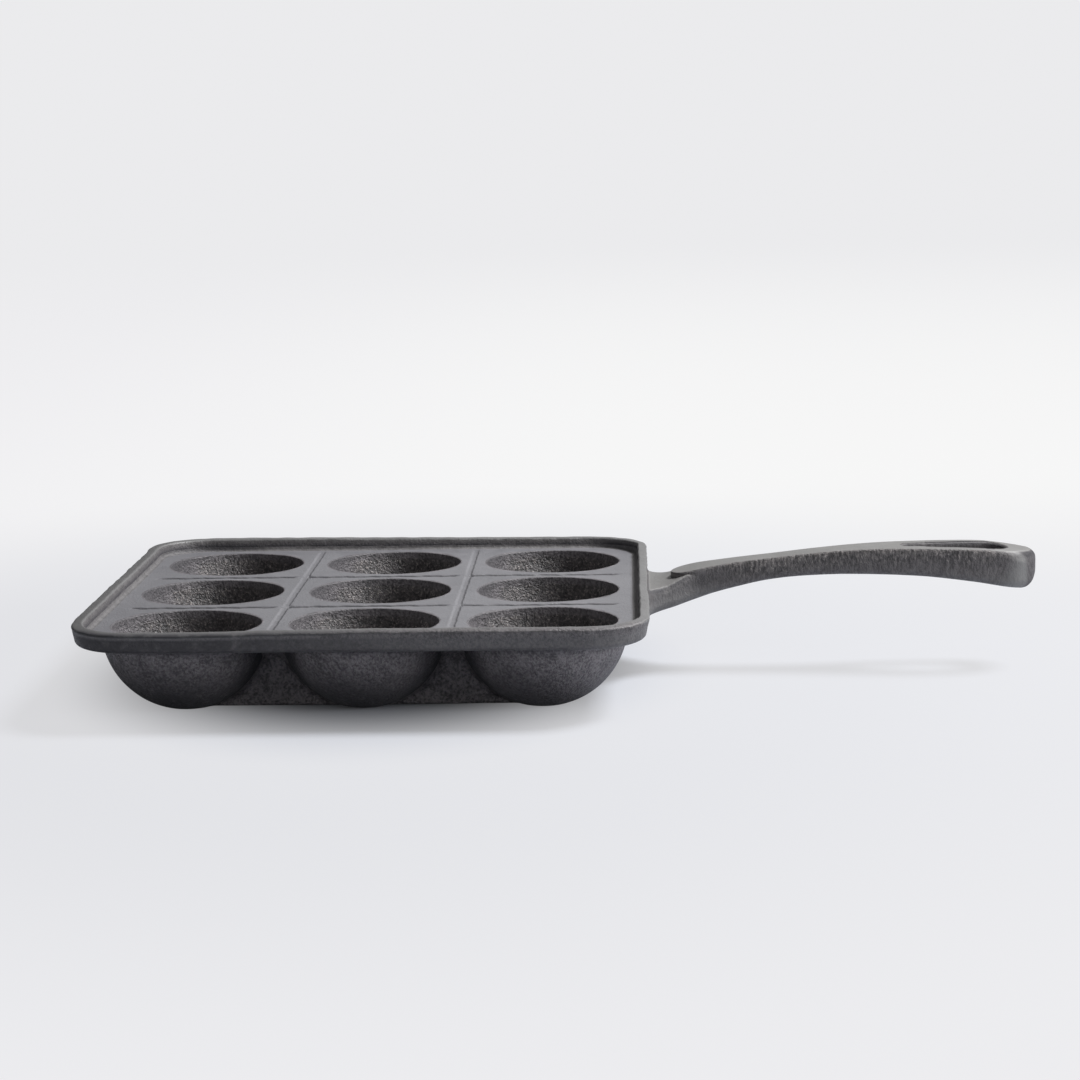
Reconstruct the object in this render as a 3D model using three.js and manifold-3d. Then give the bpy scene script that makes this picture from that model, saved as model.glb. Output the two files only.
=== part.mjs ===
// Takoyaki pan, cast in one piece: nine hemispherical cups hang from a square deck with a raised
// rim, webs join the cups underneath, and a handle rises from the rim to an eye for hanging.
// The casting is divided where its regions meet, and each region is a mesh of its own.
// Millimetres, +Z up. The origin lies on the table under the centre cup, +X points to the handle.

import * as THREE from 'three';
import { mergeVertices } from 'three/addons/utils/BufferGeometryUtils.js';
import Module from 'manifold-3d';

const wasm = await Module();
wasm.setup();

// Metal and clearances
const CUP_WALL = 3;
const DECK_THICKNESS = 2.8;
const GAP = 0.3; // parting between regions that meet on a curved face
const OVERRUN = 2; // how far a cutter reaches past what it cuts

// Cups
const CUP_RADIUS = 20; // inside, a hemisphere centred on the deck's top face
const CUP_PITCH = 48; // from centre to centre, both ways
const FOOT_GRIND = 0.7; // ground off the bottom of each cup, so that the pan stands flat
const LIP_RADIUS = 0.9; // rounding of the cup's mouth
const COVE_RADIUS = 1.2; // fillet between the cup's outside and the deck's underside
const CUP_SIDES = 24;
const CUP_ARC_STEPS = 7;
const EDGE_STEPS = 3;
const ROW_NAMES = ['front', 'middle', 'back'];
const COLUMN_NAMES = ['left', 'centre', 'right'];

// Scored lines between the cups
const SCORE_KEEL_WIDTH = 0.35; // at the bottom of the V
const SCORE_RUN_OUT = 2; // length over which a line fades at each end
const ROW_SCORE_WIDTH = 1.5; // of the lines between two rows
const ROW_SCORE_DEPTH = 0.6;
const ROW_SCORE_MARGIN = 5; // plain deck between a line's end and the rim's foot
const COLUMN_SCORE_WIDTH = 3.4; // of the lines between two columns
const COLUMN_SCORE_DEPTH = 1;
const COLUMN_SCORE_MARGIN = 2.6;

// Rim
const RIM_HEIGHT = 3.3; // above the deck
const RIM_TOP_WIDTH = 2.1;
const RIM_WALL_LEAN = 0.4; // how far the inner wall leans in on its way down
const RIM_CORNER_RADIUS = 18;
const RIM_OUTER_ROUND = 0.8;
const RIM_INNER_ROUND = 0.7;
const RIM_FOOT_FILLET = 1.4;
const RIM_BELLY_ROUND = 2.5; // lower outer edge
const RIM_MARGIN = 4.5; // from the edge of the cup field to the outer face
const CORNER_STEPS = 8;

// Webs under the deck
const WEB_THICKNESS = 5;
const WEB_LIFT = 0.5; // above the table
const WEB_EDGE_ROUND = 1.2;
const WEB_END_MARGIN = 8.5; // from a cup's axis to the web's end

// Handle, its heights above the deck's top face
const HANDLE_LENGTH = 109.8; // from the rim's outer face to the tip
const CROWN_HEIGHT = 11.8; // highest point of the top line
const BELLY_HEIGHT = 4.3; // highest point of the underside
const GRIP_HALF_WIDTH = 9.3; // at the eye
const GRIP_EDGE_ROUND = 1.3;
const TIP_UPPER_ROUND = 3; // rounding of the tip, seen from the side
const TIP_LOWER_ROUND = 5;
const NOSE_START = 6.6; // from the rim to the raised grip's nose
const NOSE_LENGTH = 6;
const ROOT_HALF_WIDTH = 14.6; // at the rim
const ROOT_TAPER_LENGTH = 15; // to where it is no wider than the grip
const ROOT_FILLET = 6; // flare at the rim, seen from above
const ROOT_TOP = 2.3; // at the rim
const ROOT_TOP_RISE = 1.9; // over the taper
const ROOT_DEPTH = 5; // below the deck's top face, at the rim
const ROOT_EDGE_ROUND = 2;
const ROOT_END = 20.5; // from the rim, where the root hands over to the grip
const EDGE_WIDTH_SHARE = 0.8; // the most of a narrow section's half width that its rounds take
const EDGE_HEIGHT_SHARE = 0.45; // the most of a low section's height that a round takes
const END_TURN_SHARE = 0.94; // how much of its quarter turn each rounded end of the grip makes
const SECTION_STEPS = 3; // facets on each rounded edge
const STATION_SPACING = 4.5;
const END_STEPS = 6;

// Hanging slot, a teardrop
const SLOT_LENGTH = 28.5;
const SLOT_TO_TIP = 8.8;
const SLOT_SMALL_RADIUS = 1.2;
const SLOT_LARGE_RADIUS = 5.2;
const SLOT_STEPS = 9;
const EYE_MARGIN = 3.5; // metal of the eye's stretch beyond the slot's narrow end
const EYE_LENGTH = SLOT_TO_TIP + SLOT_LENGTH + EYE_MARGIN; // the stretch at the tip that holds it

// Shares of the handle's length against shares of the height or width that they follow
const crownShares = [
  [0, 0.34], [0.06, 0.42], [0.09, 0.47], [0.13, 0.55], [0.17, 0.61], [0.24, 0.695],
  [0.33, 0.785], [0.44, 0.895], [0.55, 0.97], [0.65, 1], [0.77, 1], [0.87, 0.975],
  [0.94, 0.915], [1, 0.845],
];
const bellyShares = [
  [0, -1.14], [0.04, -0.97], [0.07, -0.84], [0.12, -0.55], [0.17, -0.17], [0.24, 0.245],
  [0.31, 0.6], [0.4, 0.84], [0.51, 0.96], [0.62, 0.945], [0.73, 0.82], [0.84, 0.5],
  [0.93, 0.14], [1, -0.04],
];
const halfWidthShares = [
  [0, 0.86], [0.06, 0.8], [0.12, 0.7], [0.18, 0.6], [0.24, 0.54], [0.32, 0.515],
  [0.42, 0.52], [0.5, 0.575], [0.57, 0.67], [0.64, 0.78], [0.72, 0.88], [0.8, 0.95],
  [0.9, 1], [1, 1],
];

// Places that follow from the sizes
const DECK_TOP = CUP_RADIUS + CUP_WALL - FOOT_GRIND;
const DECK_UNDERSIDE = DECK_TOP - DECK_THICKNESS;
const FIELD_HALF = CUP_PITCH * ROW_NAMES.length / 2;
const PLATE_HALF = FIELD_HALF + RIM_MARGIN;
const RIM_TOP = DECK_TOP + RIM_HEIGHT;

// Cast iron, plain from the mould
const castIron = { roughness: 0.62, metalness: 0.55 };
const deckIron = new THREE.MeshStandardMaterial({ color: 0x55555a, ...castIron });
const cupIron = new THREE.MeshStandardMaterial({ color: 0x4a4848, ...castIron });
const webIron = new THREE.MeshStandardMaterial({ color: 0x3f3f43, ...castIron });
const handleIron = new THREE.MeshStandardMaterial({ color: 0x5a5a5c, ...castIron });

// A solid for joining and cutting, from a closed geometry
function toSolid(geometry) {
  const bare = geometry.clone();
  bare.deleteAttribute('normal');
  bare.deleteAttribute('uv');
  const merged = mergeVertices(bare);
  const corners = Array.from(merged.index.array);
  const kept = [];
  for (let i = 0; i < corners.length; i += 3) {
    const [a, b, c] = corners.slice(i, i + 3);
    if (a !== b && b !== c && c !== a) kept.push(a, b, c);
  }
  return new wasm.Manifold(new wasm.Mesh({
    numProp: 3,
    vertProperties: new Float32Array(merged.attributes.position.array),
    triVerts: new Uint32Array(kept),
  }));
}

// A named mesh from a solid
function toMesh(solid, name, material) {
  const { vertProperties, triVerts } = solid.getMesh();
  const geometry = new THREE.BufferGeometry();
  geometry.setAttribute('position', new THREE.BufferAttribute(vertProperties, 3));
  geometry.setIndex(new THREE.BufferAttribute(triVerts, 1));
  geometry.computeVertexNormals();
  const mesh = new THREE.Mesh(geometry, material);
  mesh.name = name;
  return mesh;
}

// A closed skin over rings of equal count, each counter-clockwise about the way the loft goes
function loft(rings) {
  const count = rings[0].length;
  const points = rings.flat();
  const faces = [];
  for (let ring = 0; ring + 1 < rings.length; ring += 1) {
    for (let i = 0; i < count; i += 1) {
      const a = ring * count + i;
      const b = ring * count + (i + 1) % count;
      faces.push(a, b, b + count, a, b + count, a + count);
    }
  }
  const last = (rings.length - 1) * count;
  const ends = [rings[0], rings[rings.length - 1]].map((ring) => {
    const centre = new THREE.Vector3();
    ring.forEach((point) => centre.add(point));
    return centre.divideScalar(count);
  });
  points.push(...ends);
  for (let i = 0; i < count; i += 1) {
    const next = (i + 1) % count;
    faces.push(points.length - 2, next, i);
    faces.push(points.length - 1, last + i, last + next);
  }
  const geometry = new THREE.BufferGeometry().setFromPoints(points);
  geometry.setIndex(faces);
  return geometry;
}

function box(low, high) {
  const size = new THREE.Vector3().subVectors(high, low);
  const centre = new THREE.Vector3().addVectors(low, high).divideScalar(2);
  return new THREE.BoxGeometry(size.x, size.y, size.z).translate(centre.x, centre.y, centre.z);
}

// Points of a circular arc in a profile, from one angle to the other
function arc(x, y, radius, from, to, steps) {
  return Array.from({ length: steps + 1 }, (_, i) => {
    const angle = from + (to - from) * i / steps;
    return new THREE.Vector2(x + radius * Math.cos(angle), y + radius * Math.sin(angle));
  });
}

// Outline of a square with rounded corners, counter-clockwise seen from above
function roundedSquare(half, radius) {
  const inner = half - radius;
  return [[inner, inner], [-inner, inner], [-inner, -inner], [inner, -inner]].flatMap(
    ([x, y], quarter) => arc(x, y, radius, quarter * Math.PI / 2,
      (quarter + 1) * Math.PI / 2, CORNER_STEPS),
  );
}

const atHeight = (outline, z) => outline.map((point) => new THREE.Vector3(point.x, point.y, z));

// A square column with rounded corners, set in from the plate's outer face
function plateColumn(inset, low, high) {
  const outline = roundedSquare(PLATE_HALF - inset, RIM_CORNER_RADIUS - inset);
  return toSolid(loft([atHeight(outline, low), atHeight(outline, high)]));
}

// Cross-section of the plate from its underside, round the outside and over the rim to the deck.
// Each point is an inset from the outer face and a height. Growth moves the skin out all over.
function plateProfile(growth) {
  const wallTop = RIM_TOP_WIDTH;
  const wallFoot = RIM_TOP_WIDTH + RIM_WALL_LEAN;
  return [
    ...arc(RIM_BELLY_ROUND, DECK_UNDERSIDE + RIM_BELLY_ROUND, RIM_BELLY_ROUND + growth,
      -Math.PI / 2, -Math.PI, SECTION_STEPS + 1),
    ...arc(RIM_OUTER_ROUND, RIM_TOP - RIM_OUTER_ROUND, RIM_OUTER_ROUND + growth,
      Math.PI, Math.PI / 2, SECTION_STEPS),
    ...arc(wallTop - RIM_INNER_ROUND, RIM_TOP - RIM_INNER_ROUND, RIM_INNER_ROUND + growth,
      Math.PI / 2, 0, SECTION_STEPS),
    ...arc(wallFoot + RIM_FOOT_FILLET, DECK_TOP + RIM_FOOT_FILLET, RIM_FOOT_FILLET - growth,
      Math.PI, Math.PI * 3 / 2, SECTION_STEPS),
  ];
}

// The whole plate without its cups: deck and rim
function plate(growth) {
  const rings = plateProfile(growth).map((point) => atHeight(
    roundedSquare(PLATE_HALF - point.x, RIM_CORNER_RADIUS - point.x), point.y,
  ));
  return toSolid(loft(rings));
}

// A shallow V line that fades at both ends, along X from the origin
function scoreCutter(margin, width, depth) {
  const rimFoot = PLATE_HALF - RIM_TOP_WIDTH - RIM_WALL_LEAN - RIM_FOOT_FILLET;
  const grown = (depth + OVERRUN) / depth;
  const ring = (length, halfWidth, z) => [
    new THREE.Vector3(length, -halfWidth, z), new THREE.Vector3(length, halfWidth, z),
    new THREE.Vector3(-length, halfWidth, z), new THREE.Vector3(-length, -halfWidth, z),
  ];
  const keel = rimFoot - margin - SCORE_RUN_OUT;
  const top = keel + SCORE_RUN_OUT * grown;
  return loft([
    ring(keel, SCORE_KEEL_WIDTH / 2, DECK_TOP - depth),
    ring(top, width / 2 * grown, DECK_TOP + OVERRUN),
  ]);
}

function scoreLines() {
  const betweenRows = scoreCutter(ROW_SCORE_MARGIN, ROW_SCORE_WIDTH, ROW_SCORE_DEPTH);
  const betweenColumns = scoreCutter(COLUMN_SCORE_MARGIN, COLUMN_SCORE_WIDTH, COLUMN_SCORE_DEPTH);
  const lines = [];
  for (let i = 1; i < ROW_NAMES.length; i += 1) {
    const place = (i - ROW_NAMES.length / 2) * CUP_PITCH;
    lines.push(toSolid(betweenRows.clone().translate(0, place, 0)));
    lines.push(toSolid(betweenColumns.clone().rotateZ(Math.PI / 2).translate(place, 0, 0)));
  }
  return lines.reduce((all, line) => all.add(line));
}

// Outside of a cup and of the deck round it out to a reach, as a profile from the foot outwards
function cupOutsideProfile(growth, reach) {
  const outer = CUP_RADIUS + CUP_WALL;
  const footAngle = Math.asin((DECK_TOP + growth) / (outer + growth));
  const coveHeight = DECK_THICKNESS + COVE_RADIUS;
  const coveAngle = Math.asin(coveHeight / (outer + COVE_RADIUS));
  const coveX = (outer + COVE_RADIUS) * Math.cos(coveAngle);
  return [
    new THREE.Vector2(0, -growth),
    ...arc(0, DECK_TOP, outer + growth, -footAngle, -coveAngle, CUP_ARC_STEPS),
    ...arc(coveX, DECK_TOP - coveHeight, COVE_RADIUS - growth, Math.PI - coveAngle, Math.PI / 2,
      EDGE_STEPS).slice(1),
    new THREE.Vector2(reach, DECK_UNDERSIDE - growth),
    new THREE.Vector2(reach, DECK_TOP),
  ];
}

function revolve(profile) {
  return new THREE.LatheGeometry(profile, CUP_SIDES).rotateX(Math.PI / 2);
}

// What webs and handle keep clear of: a cup and its deck without the hollow, grown by the gap
function cupKeepOut() {
  const reach = CUP_RADIUS + CUP_WALL + COVE_RADIUS + GAP;
  return revolve([...cupOutsideProfile(GAP, reach), new THREE.Vector2(0, DECK_TOP)]);
}

// A cup revolved with the deck round it, wider than its cell
function cupAndDeck() {
  const lipAngle = Math.asin(LIP_RADIUS / (CUP_RADIUS + LIP_RADIUS));
  const lipX = (CUP_RADIUS + LIP_RADIUS) * Math.cos(lipAngle);
  return revolve([
    ...cupOutsideProfile(0, CUP_PITCH),
    ...arc(lipX, DECK_TOP - LIP_RADIUS, LIP_RADIUS, Math.PI / 2, Math.PI - lipAngle, EDGE_STEPS),
    ...arc(0, DECK_TOP, CUP_RADIUS, -lipAngle, -Math.PI / 2, CUP_ARC_STEPS).slice(1, -1),
    new THREE.Vector2(0, DECK_TOP - CUP_RADIUS),
  ]);
}

function cupCell(column, row, field, scores) {
  const x = (column - (COLUMN_NAMES.length - 1) / 2) * CUP_PITCH;
  const y = (row - (ROW_NAMES.length - 1) / 2) * CUP_PITCH;
  const half = CUP_PITCH / 2;
  const cell = toSolid(box(
    new THREE.Vector3(x - half, y - half, -OVERRUN),
    new THREE.Vector3(x + half, y + half, DECK_TOP + OVERRUN),
  ));
  const cup = toSolid(cupAndDeck().translate(x, y, 0));
  return cup.intersect(cell).intersect(field).subtract(scores);
}

// The plate outside the column that holds the cups, with the raised rim on it
function rimFrame(field) {
  return plate(0).subtract(field);
}

// A web between two neighbouring cups, along X and centred on the origin
function webBetweenCups() {
  const halfLength = CUP_PITCH / 2 - WEB_END_MARGIN;
  const half = WEB_THICKNESS / 2;
  const inner = half - WEB_EDGE_ROUND;
  const low = WEB_LIFT + WEB_EDGE_ROUND;
  const outline = [
    ...arc(-inner, low, WEB_EDGE_ROUND, Math.PI, Math.PI * 3 / 2, SECTION_STEPS),
    ...arc(inner, low, WEB_EDGE_ROUND, -Math.PI / 2, 0, SECTION_STEPS),
    new THREE.Vector2(half, DECK_UNDERSIDE),
    new THREE.Vector2(-half, DECK_UNDERSIDE),
  ];
  const section = (x) => outline.map((point) => new THREE.Vector3(x, point.x, point.y));
  return toSolid(loft([section(-halfLength), section(halfLength)]))
    .subtract(toSolid(cupKeepOut().translate(-CUP_PITCH / 2, 0, 0)))
    .subtract(toSolid(cupKeepOut().translate(CUP_PITCH / 2, 0, 0)));
}

// Value of a smooth curve through a table of shares
function followShares(table, share) {
  const last = table.length - 1;
  let i = table.findIndex(([at]) => at > share) - 1;
  if (i < 0) i = share < table[0][0] ? 0 : last - 1;
  const slope = (k) => {
    const [x0, y0] = table[Math.max(k - 1, 0)];
    const [x1, y1] = table[Math.min(k + 1, last)];
    return (y1 - y0) / (x1 - x0);
  };
  const [x0, y0] = table[i];
  const [x1, y1] = table[i + 1];
  const width = x1 - x0;
  const t = (share - x0) / width;
  return y0 * (1 + 2 * t) * (1 - t) ** 2 + y1 * t * t * (3 - 2 * t)
    + width * (slope(i) * t * (1 - t) ** 2 + slope(i + 1) * t * t * (t - 1));
}

// How far a round of this radius falls away at a distance from its end
function roundFall(radius, fromEnd) {
  if (fromEnd >= radius) return 0;
  return radius - Math.sqrt(radius ** 2 - (radius - fromEnd) ** 2);
}

// A handle section: a rectangle with rounded edges, standing across the handle
function handleSection(x, halfWidth, low, high, edge) {
  const round = Math.min(edge, halfWidth * EDGE_WIDTH_SHARE, (high - low) * EDGE_HEIGHT_SHARE);
  const y = halfWidth - round;
  const corners = [[y, high - round], [-y, high - round], [-y, low + round], [y, low + round]];
  return corners.flatMap(([cy, cz], quarter) => arc(
    cy, cz, round, quarter * Math.PI / 2, (quarter + 1) * Math.PI / 2, SECTION_STEPS,
  )).map((point) => new THREE.Vector3(x, point.x, point.y));
}

function spread(from, to, spacing) {
  const count = Math.ceil((to - from) / spacing);
  return Array.from({ length: count + 1 }, (_, i) => from + (to - from) * i / count);
}

const gripHalfWidth = (share) => GRIP_HALF_WIDTH * followShares(halfWidthShares, share);
const crownHeight = (share) => CROWN_HEIGHT * followShares(crownShares, share);
const bellyHeight = (share) => BELLY_HEIGHT * followShares(bellyShares, share);

// The grip from its nose to the tip, round at both ends seen from above
function gripBody() {
  const tipRadius = GRIP_HALF_WIDTH;
  const lastTurn = Math.PI / 2 * END_TURN_SHARE;
  const turns = Array.from({ length: END_STEPS }, (_, i) => lastTurn * (i + 1) / END_STEPS);
  const noseRound = turns.map((turn) => NOSE_START + NOSE_LENGTH * (1 - Math.sin(turn))).reverse();
  const tipRound = turns.map((turn) => HANDLE_LENGTH - tipRadius * (1 - Math.sin(turn)));
  const noseEnd = NOSE_START + NOSE_LENGTH;
  const stations = [
    ...noseRound, ...spread(noseEnd, HANDLE_LENGTH - tipRadius, STATION_SPACING), ...tipRound,
  ];
  const rings = stations.map((along) => {
    const share = along / HANDLE_LENGTH;
    const fromNose = (noseEnd - along) / NOSE_LENGTH;
    const fromTip = (along - HANDLE_LENGTH + tipRadius) / tipRadius;
    const nose = fromNose > 0 ? Math.sqrt(1 - fromNose ** 2) : 1;
    const tip = fromTip > 0 ? Math.sqrt(1 - fromTip ** 2) : 1;
    const fromEnd = HANDLE_LENGTH - along;
    return handleSection(
      PLATE_HALF + along,
      gripHalfWidth(share) * nose * tip,
      DECK_TOP + bellyHeight(share) + roundFall(TIP_LOWER_ROUND, fromEnd),
      DECK_TOP + crownHeight(share) - roundFall(TIP_UPPER_ROUND, fromEnd),
      GRIP_EDGE_ROUND,
    );
  });
  return toSolid(loft(rings));
}

// The root that spreads from the grip into the rim and runs on under it to the nearest cup
function rootBody() {
  const inward = -(PLATE_HALF - CUP_PITCH - CUP_RADIUS);
  const flare = Array.from({ length: END_STEPS }, (_, i) => {
    const turn = Math.PI / 2 * i / END_STEPS;
    return ROOT_FILLET * (1 - Math.cos(turn));
  });
  const stations = [inward, ...flare, ...spread(ROOT_FILLET, ROOT_END + OVERRUN, STATION_SPACING)];
  const rings = stations.map((along) => {
    const taper = THREE.MathUtils.smoothstep(along, 0, ROOT_TAPER_LENGTH);
    const share = Math.max(along, 0) / HANDLE_LENGTH;
    const halfWidth = THREE.MathUtils.lerp(ROOT_HALF_WIDTH, gripHalfWidth(share), taper);
    return handleSection(
      PLATE_HALF + along,
      halfWidth + (along < 0 ? 0 : roundFall(ROOT_FILLET, along)),
      DECK_TOP + (along < 0 ? -ROOT_DEPTH : bellyHeight(share)),
      DECK_TOP + ROOT_TOP + ROOT_TOP_RISE * taper,
      ROOT_EDGE_ROUND,
    );
  });
  return toSolid(loft(rings));
}

// The teardrop slot's cutter, through the whole height of the handle
function slotCutter() {
  const end = PLATE_HALF + HANDLE_LENGTH - SLOT_TO_TIP;
  const small = end - SLOT_LENGTH + SLOT_SMALL_RADIUS;
  const large = end - SLOT_LARGE_RADIUS;
  const lean = Math.asin((SLOT_LARGE_RADIUS - SLOT_SMALL_RADIUS) / (large - small));
  const shape = new THREE.Shape([
    ...arc(large, 0, SLOT_LARGE_RADIUS, -Math.PI / 2 - lean, Math.PI / 2 + lean, SLOT_STEPS),
    ...arc(small, 0, SLOT_SMALL_RADIUS, Math.PI / 2 + lean, Math.PI * 3 / 2 - lean, EDGE_STEPS),
  ]);
  const depth = CROWN_HEIGHT + OVERRUN * 2;
  const prism = new THREE.ExtrudeGeometry(shape, { depth, bevelEnabled: false, steps: 1 });
  return toSolid(prism.translate(0, 0, DECK_TOP - OVERRUN));
}

// The stretch of a handle body between two distances from the rim
function stretch(body, from, to) {
  return body.intersect(toSolid(box(
    new THREE.Vector3(PLATE_HALF + from, -PLATE_HALF, -OVERRUN),
    new THREE.Vector3(PLATE_HALF + to, PLATE_HALF, DECK_TOP + CROWN_HEIGHT + OVERRUN),
  )));
}

const pan = new THREE.Group();
pan.name = 'takoyaki_pan';

function addCups() {
  const field = plateColumn(RIM_MARGIN, -OVERRUN, RIM_TOP + OVERRUN);
  const scores = scoreLines();
  const cups = new THREE.Group();
  ROW_NAMES.forEach((rowName, row) => COLUMN_NAMES.forEach((columnName, column) => {
    const name = `cup_${rowName}_${columnName}`;
    cups.add(toMesh(cupCell(column, row, field, scores), name, cupIron));
  }));
  pan.add(cups, toMesh(rimFrame(field), 'rim_frame', deckIron));
}

function addWebs() {
  const web = webBetweenCups();
  const webs = new THREE.Group();
  const between = ['left', 'right'];
  const betweenRows = ['front', 'back'];
  ROW_NAMES.forEach((rowName, row) => between.forEach((sideName, side) => {
    const mesh = toMesh(web, `web_${rowName}_row_${sideName}`, webIron);
    mesh.position.set((side - 1 / 2) * CUP_PITCH, (row - 1) * CUP_PITCH, 0);
    webs.add(mesh);
  }));
  COLUMN_NAMES.forEach((columnName, column) => betweenRows.forEach((sideName, side) => {
    const mesh = toMesh(web, `web_${columnName}_column_${sideName}`, webIron);
    mesh.rotation.z = Math.PI / 2;
    mesh.position.set((column - 1) * CUP_PITCH, (side - 1 / 2) * CUP_PITCH, 0);
    webs.add(mesh);
  }));
  pan.add(webs);
}

function addHandle() {
  const grip = gripBody();
  const tray = plateColumn(RIM_TOP_WIDTH / 2, DECK_TOP - DECK_THICKNESS / 2, RIM_TOP + OVERRUN);
  const root = rootBody().add(grip)
    .subtract(plate(GAP))
    .subtract(tray)
    .subtract(toSolid(cupKeepOut().translate(CUP_PITCH, 0, 0)));
  const inward = -(PLATE_HALF - CUP_PITCH);
  const gripEnd = HANDLE_LENGTH - EYE_LENGTH;
  const handle = new THREE.Group();
  handle.add(
    toMesh(stretch(root, inward, ROOT_END), 'handle_root', handleIron),
    toMesh(stretch(grip, ROOT_END, gripEnd), 'handle_grip', handleIron),
    toMesh(stretch(grip, gripEnd, HANDLE_LENGTH + OVERRUN).subtract(slotCutter()),
      'hanging_eye', handleIron),
  );
  pan.add(handle);
}

addCups();
addWebs();
addHandle();

export default pan;
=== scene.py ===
"""Looks of a cast-iron takoyaki pan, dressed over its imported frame.

The pan is one iron casting. Its cups, rim, webs and handle are rebuilt here with the fillets,
rounded edges and uneven skin of a sand casting, each in the place of its frame node.
Lengths are in metres, +Z is up, +X points to the handle's tip, and the table is at z = 0.
"""

import logging
import math
from dataclasses import dataclass
from enum import Enum

import bpy
import numpy as np
from mathutils import Matrix, Vector, noise


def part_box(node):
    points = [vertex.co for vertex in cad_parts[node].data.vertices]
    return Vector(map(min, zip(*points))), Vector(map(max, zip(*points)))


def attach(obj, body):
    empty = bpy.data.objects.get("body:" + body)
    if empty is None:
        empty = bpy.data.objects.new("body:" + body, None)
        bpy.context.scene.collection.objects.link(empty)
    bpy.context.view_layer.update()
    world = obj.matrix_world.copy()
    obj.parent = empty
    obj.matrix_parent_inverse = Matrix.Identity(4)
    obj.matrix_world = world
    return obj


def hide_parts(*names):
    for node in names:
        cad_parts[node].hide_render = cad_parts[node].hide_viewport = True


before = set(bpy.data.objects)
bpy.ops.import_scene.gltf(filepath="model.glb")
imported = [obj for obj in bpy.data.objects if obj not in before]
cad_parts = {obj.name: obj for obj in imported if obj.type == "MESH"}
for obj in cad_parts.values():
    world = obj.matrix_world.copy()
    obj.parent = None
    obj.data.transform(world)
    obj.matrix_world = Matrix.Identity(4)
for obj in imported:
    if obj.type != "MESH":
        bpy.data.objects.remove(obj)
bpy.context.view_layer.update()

LOG = logging.getLogger("takoyaki_pan")
MM = 0.001
BODY = "root"
SKIN_SEED = 7  # without a seed the noise starts from the clock
ROWS = ("front", "middle", "back")
COLUMNS = ("left", "centre", "right")


class Finish(Enum):
    """Grain and painted shade of the cast skin at a place, each from 0 to 1, stored for the
    material.
    """

    # The second number of each pair is painted shade: a darker colour where the pan lies in shade,
    # as at the ground foot on the table.
    GROUND = (0.05, 0.3)
    SMOOTH = (0.16, 0.0)
    EDGE = (0.22, 0.0)
    # painted shade just below the cups' lips
    SHADED_LIP = (0.5, 0.45)
    # painted shade on the cups' left walls
    SHADED_LEFT = (0.45, 0.8)
    FILLET = (0.42, 0.05)
    # painted shade in the rim's inner wall
    WALL = (0.6, 1.0)
    FACE = (0.42, 0.1)
    SIDE = (0.68, 0.1)
    # painted shade in the handle's slot
    SHADED_SLOT = (0.6, 0.5)
    OUTSIDE = (0.8, 0.0)
    WEB = (0.78, 0.0)
    SHADE = (0.7, 1.0)
    # painted shade low on the cups' outsides, towards the table
    SHADED_FOOT = (0.65, 0.92)
    COARSE = (1.0, 0.1)

    def towards(self, other: "Finish", share: np.ndarray) -> np.ndarray:
        """Pairs between this finish and another, one for each share."""
        first, last = np.array(self.value), np.array(other.value)
        return first + (last - first) * np.asarray(share)[..., None]

    def over(self, pairs: np.ndarray, share: np.ndarray) -> np.ndarray:
        """Pairs moved towards this finish, each by its share."""
        return pairs + (np.array(self.value) - pairs) * share[..., None]


class End(Enum):
    """The end of a run of rings that a fan closes."""

    FIRST = "first"
    LAST = "last"


class Change(Enum):
    """What a closed tool does to a closed target."""

    JOIN = "UNION"
    CUT = "DIFFERENCE"


def smoothstep(low: float, high: float, value: np.ndarray | float) -> np.ndarray | float:
    """Smooth rise from 0 at low to 1 at high."""
    t = np.clip((value - low) / (high - low), 0.0, 1.0)
    return t * t * (3.0 - 2.0 * t)


def share_step(
    shares: tuple[float, float], whole: float, value: np.ndarray | float
) -> np.ndarray | float:
    """Smooth rise from 0 at the first share of a whole to 1 at the second."""
    return smoothstep(shares[0] * whole, shares[1] * whole, value)


def arc(x: float, y: float, radius: float, start: float, end: float, steps: int) -> np.ndarray:
    """Points of a circular arc in a profile.

    Args:
        x, y: The arc's centre.
        radius: Its radius.
        start, end: Angles of its two ends, in radians.
        steps: How many chords it has.

    Returns:
        An array of steps + 1 points.
    """
    angles = np.linspace(start, end, steps + 1)
    return np.stack([x + radius * np.cos(angles), y + radius * np.sin(angles)], axis=1)


def round_fall(radius: float, from_end: np.ndarray | float) -> np.ndarray | float:
    """How far a round of this radius falls away at a distance from its end."""
    inside = np.clip(radius - from_end, 0.0, radius)
    return radius - np.sqrt(radius**2 - inside**2)


def at_height(plan: np.ndarray, height: np.ndarray | float) -> np.ndarray:
    """Points of a plan at one height, or each at its own."""
    return np.column_stack([plan, np.broadcast_to(height, len(plan))])


def shade_at_least(pairs: np.ndarray, amount: np.ndarray, across: np.ndarray) -> None:
    """Raises the painted shade of a swept piece to an amount along it times a share across it.

    Args:
        pairs: Grain and painted shade by station and place in the section, changed in place.
        amount: One amount for each station.
        across: One share for each place in the section.
    """
    pairs[:, :, 1] = np.maximum(pairs[:, :, 1], amount[:, None] * across[None, :])


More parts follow.
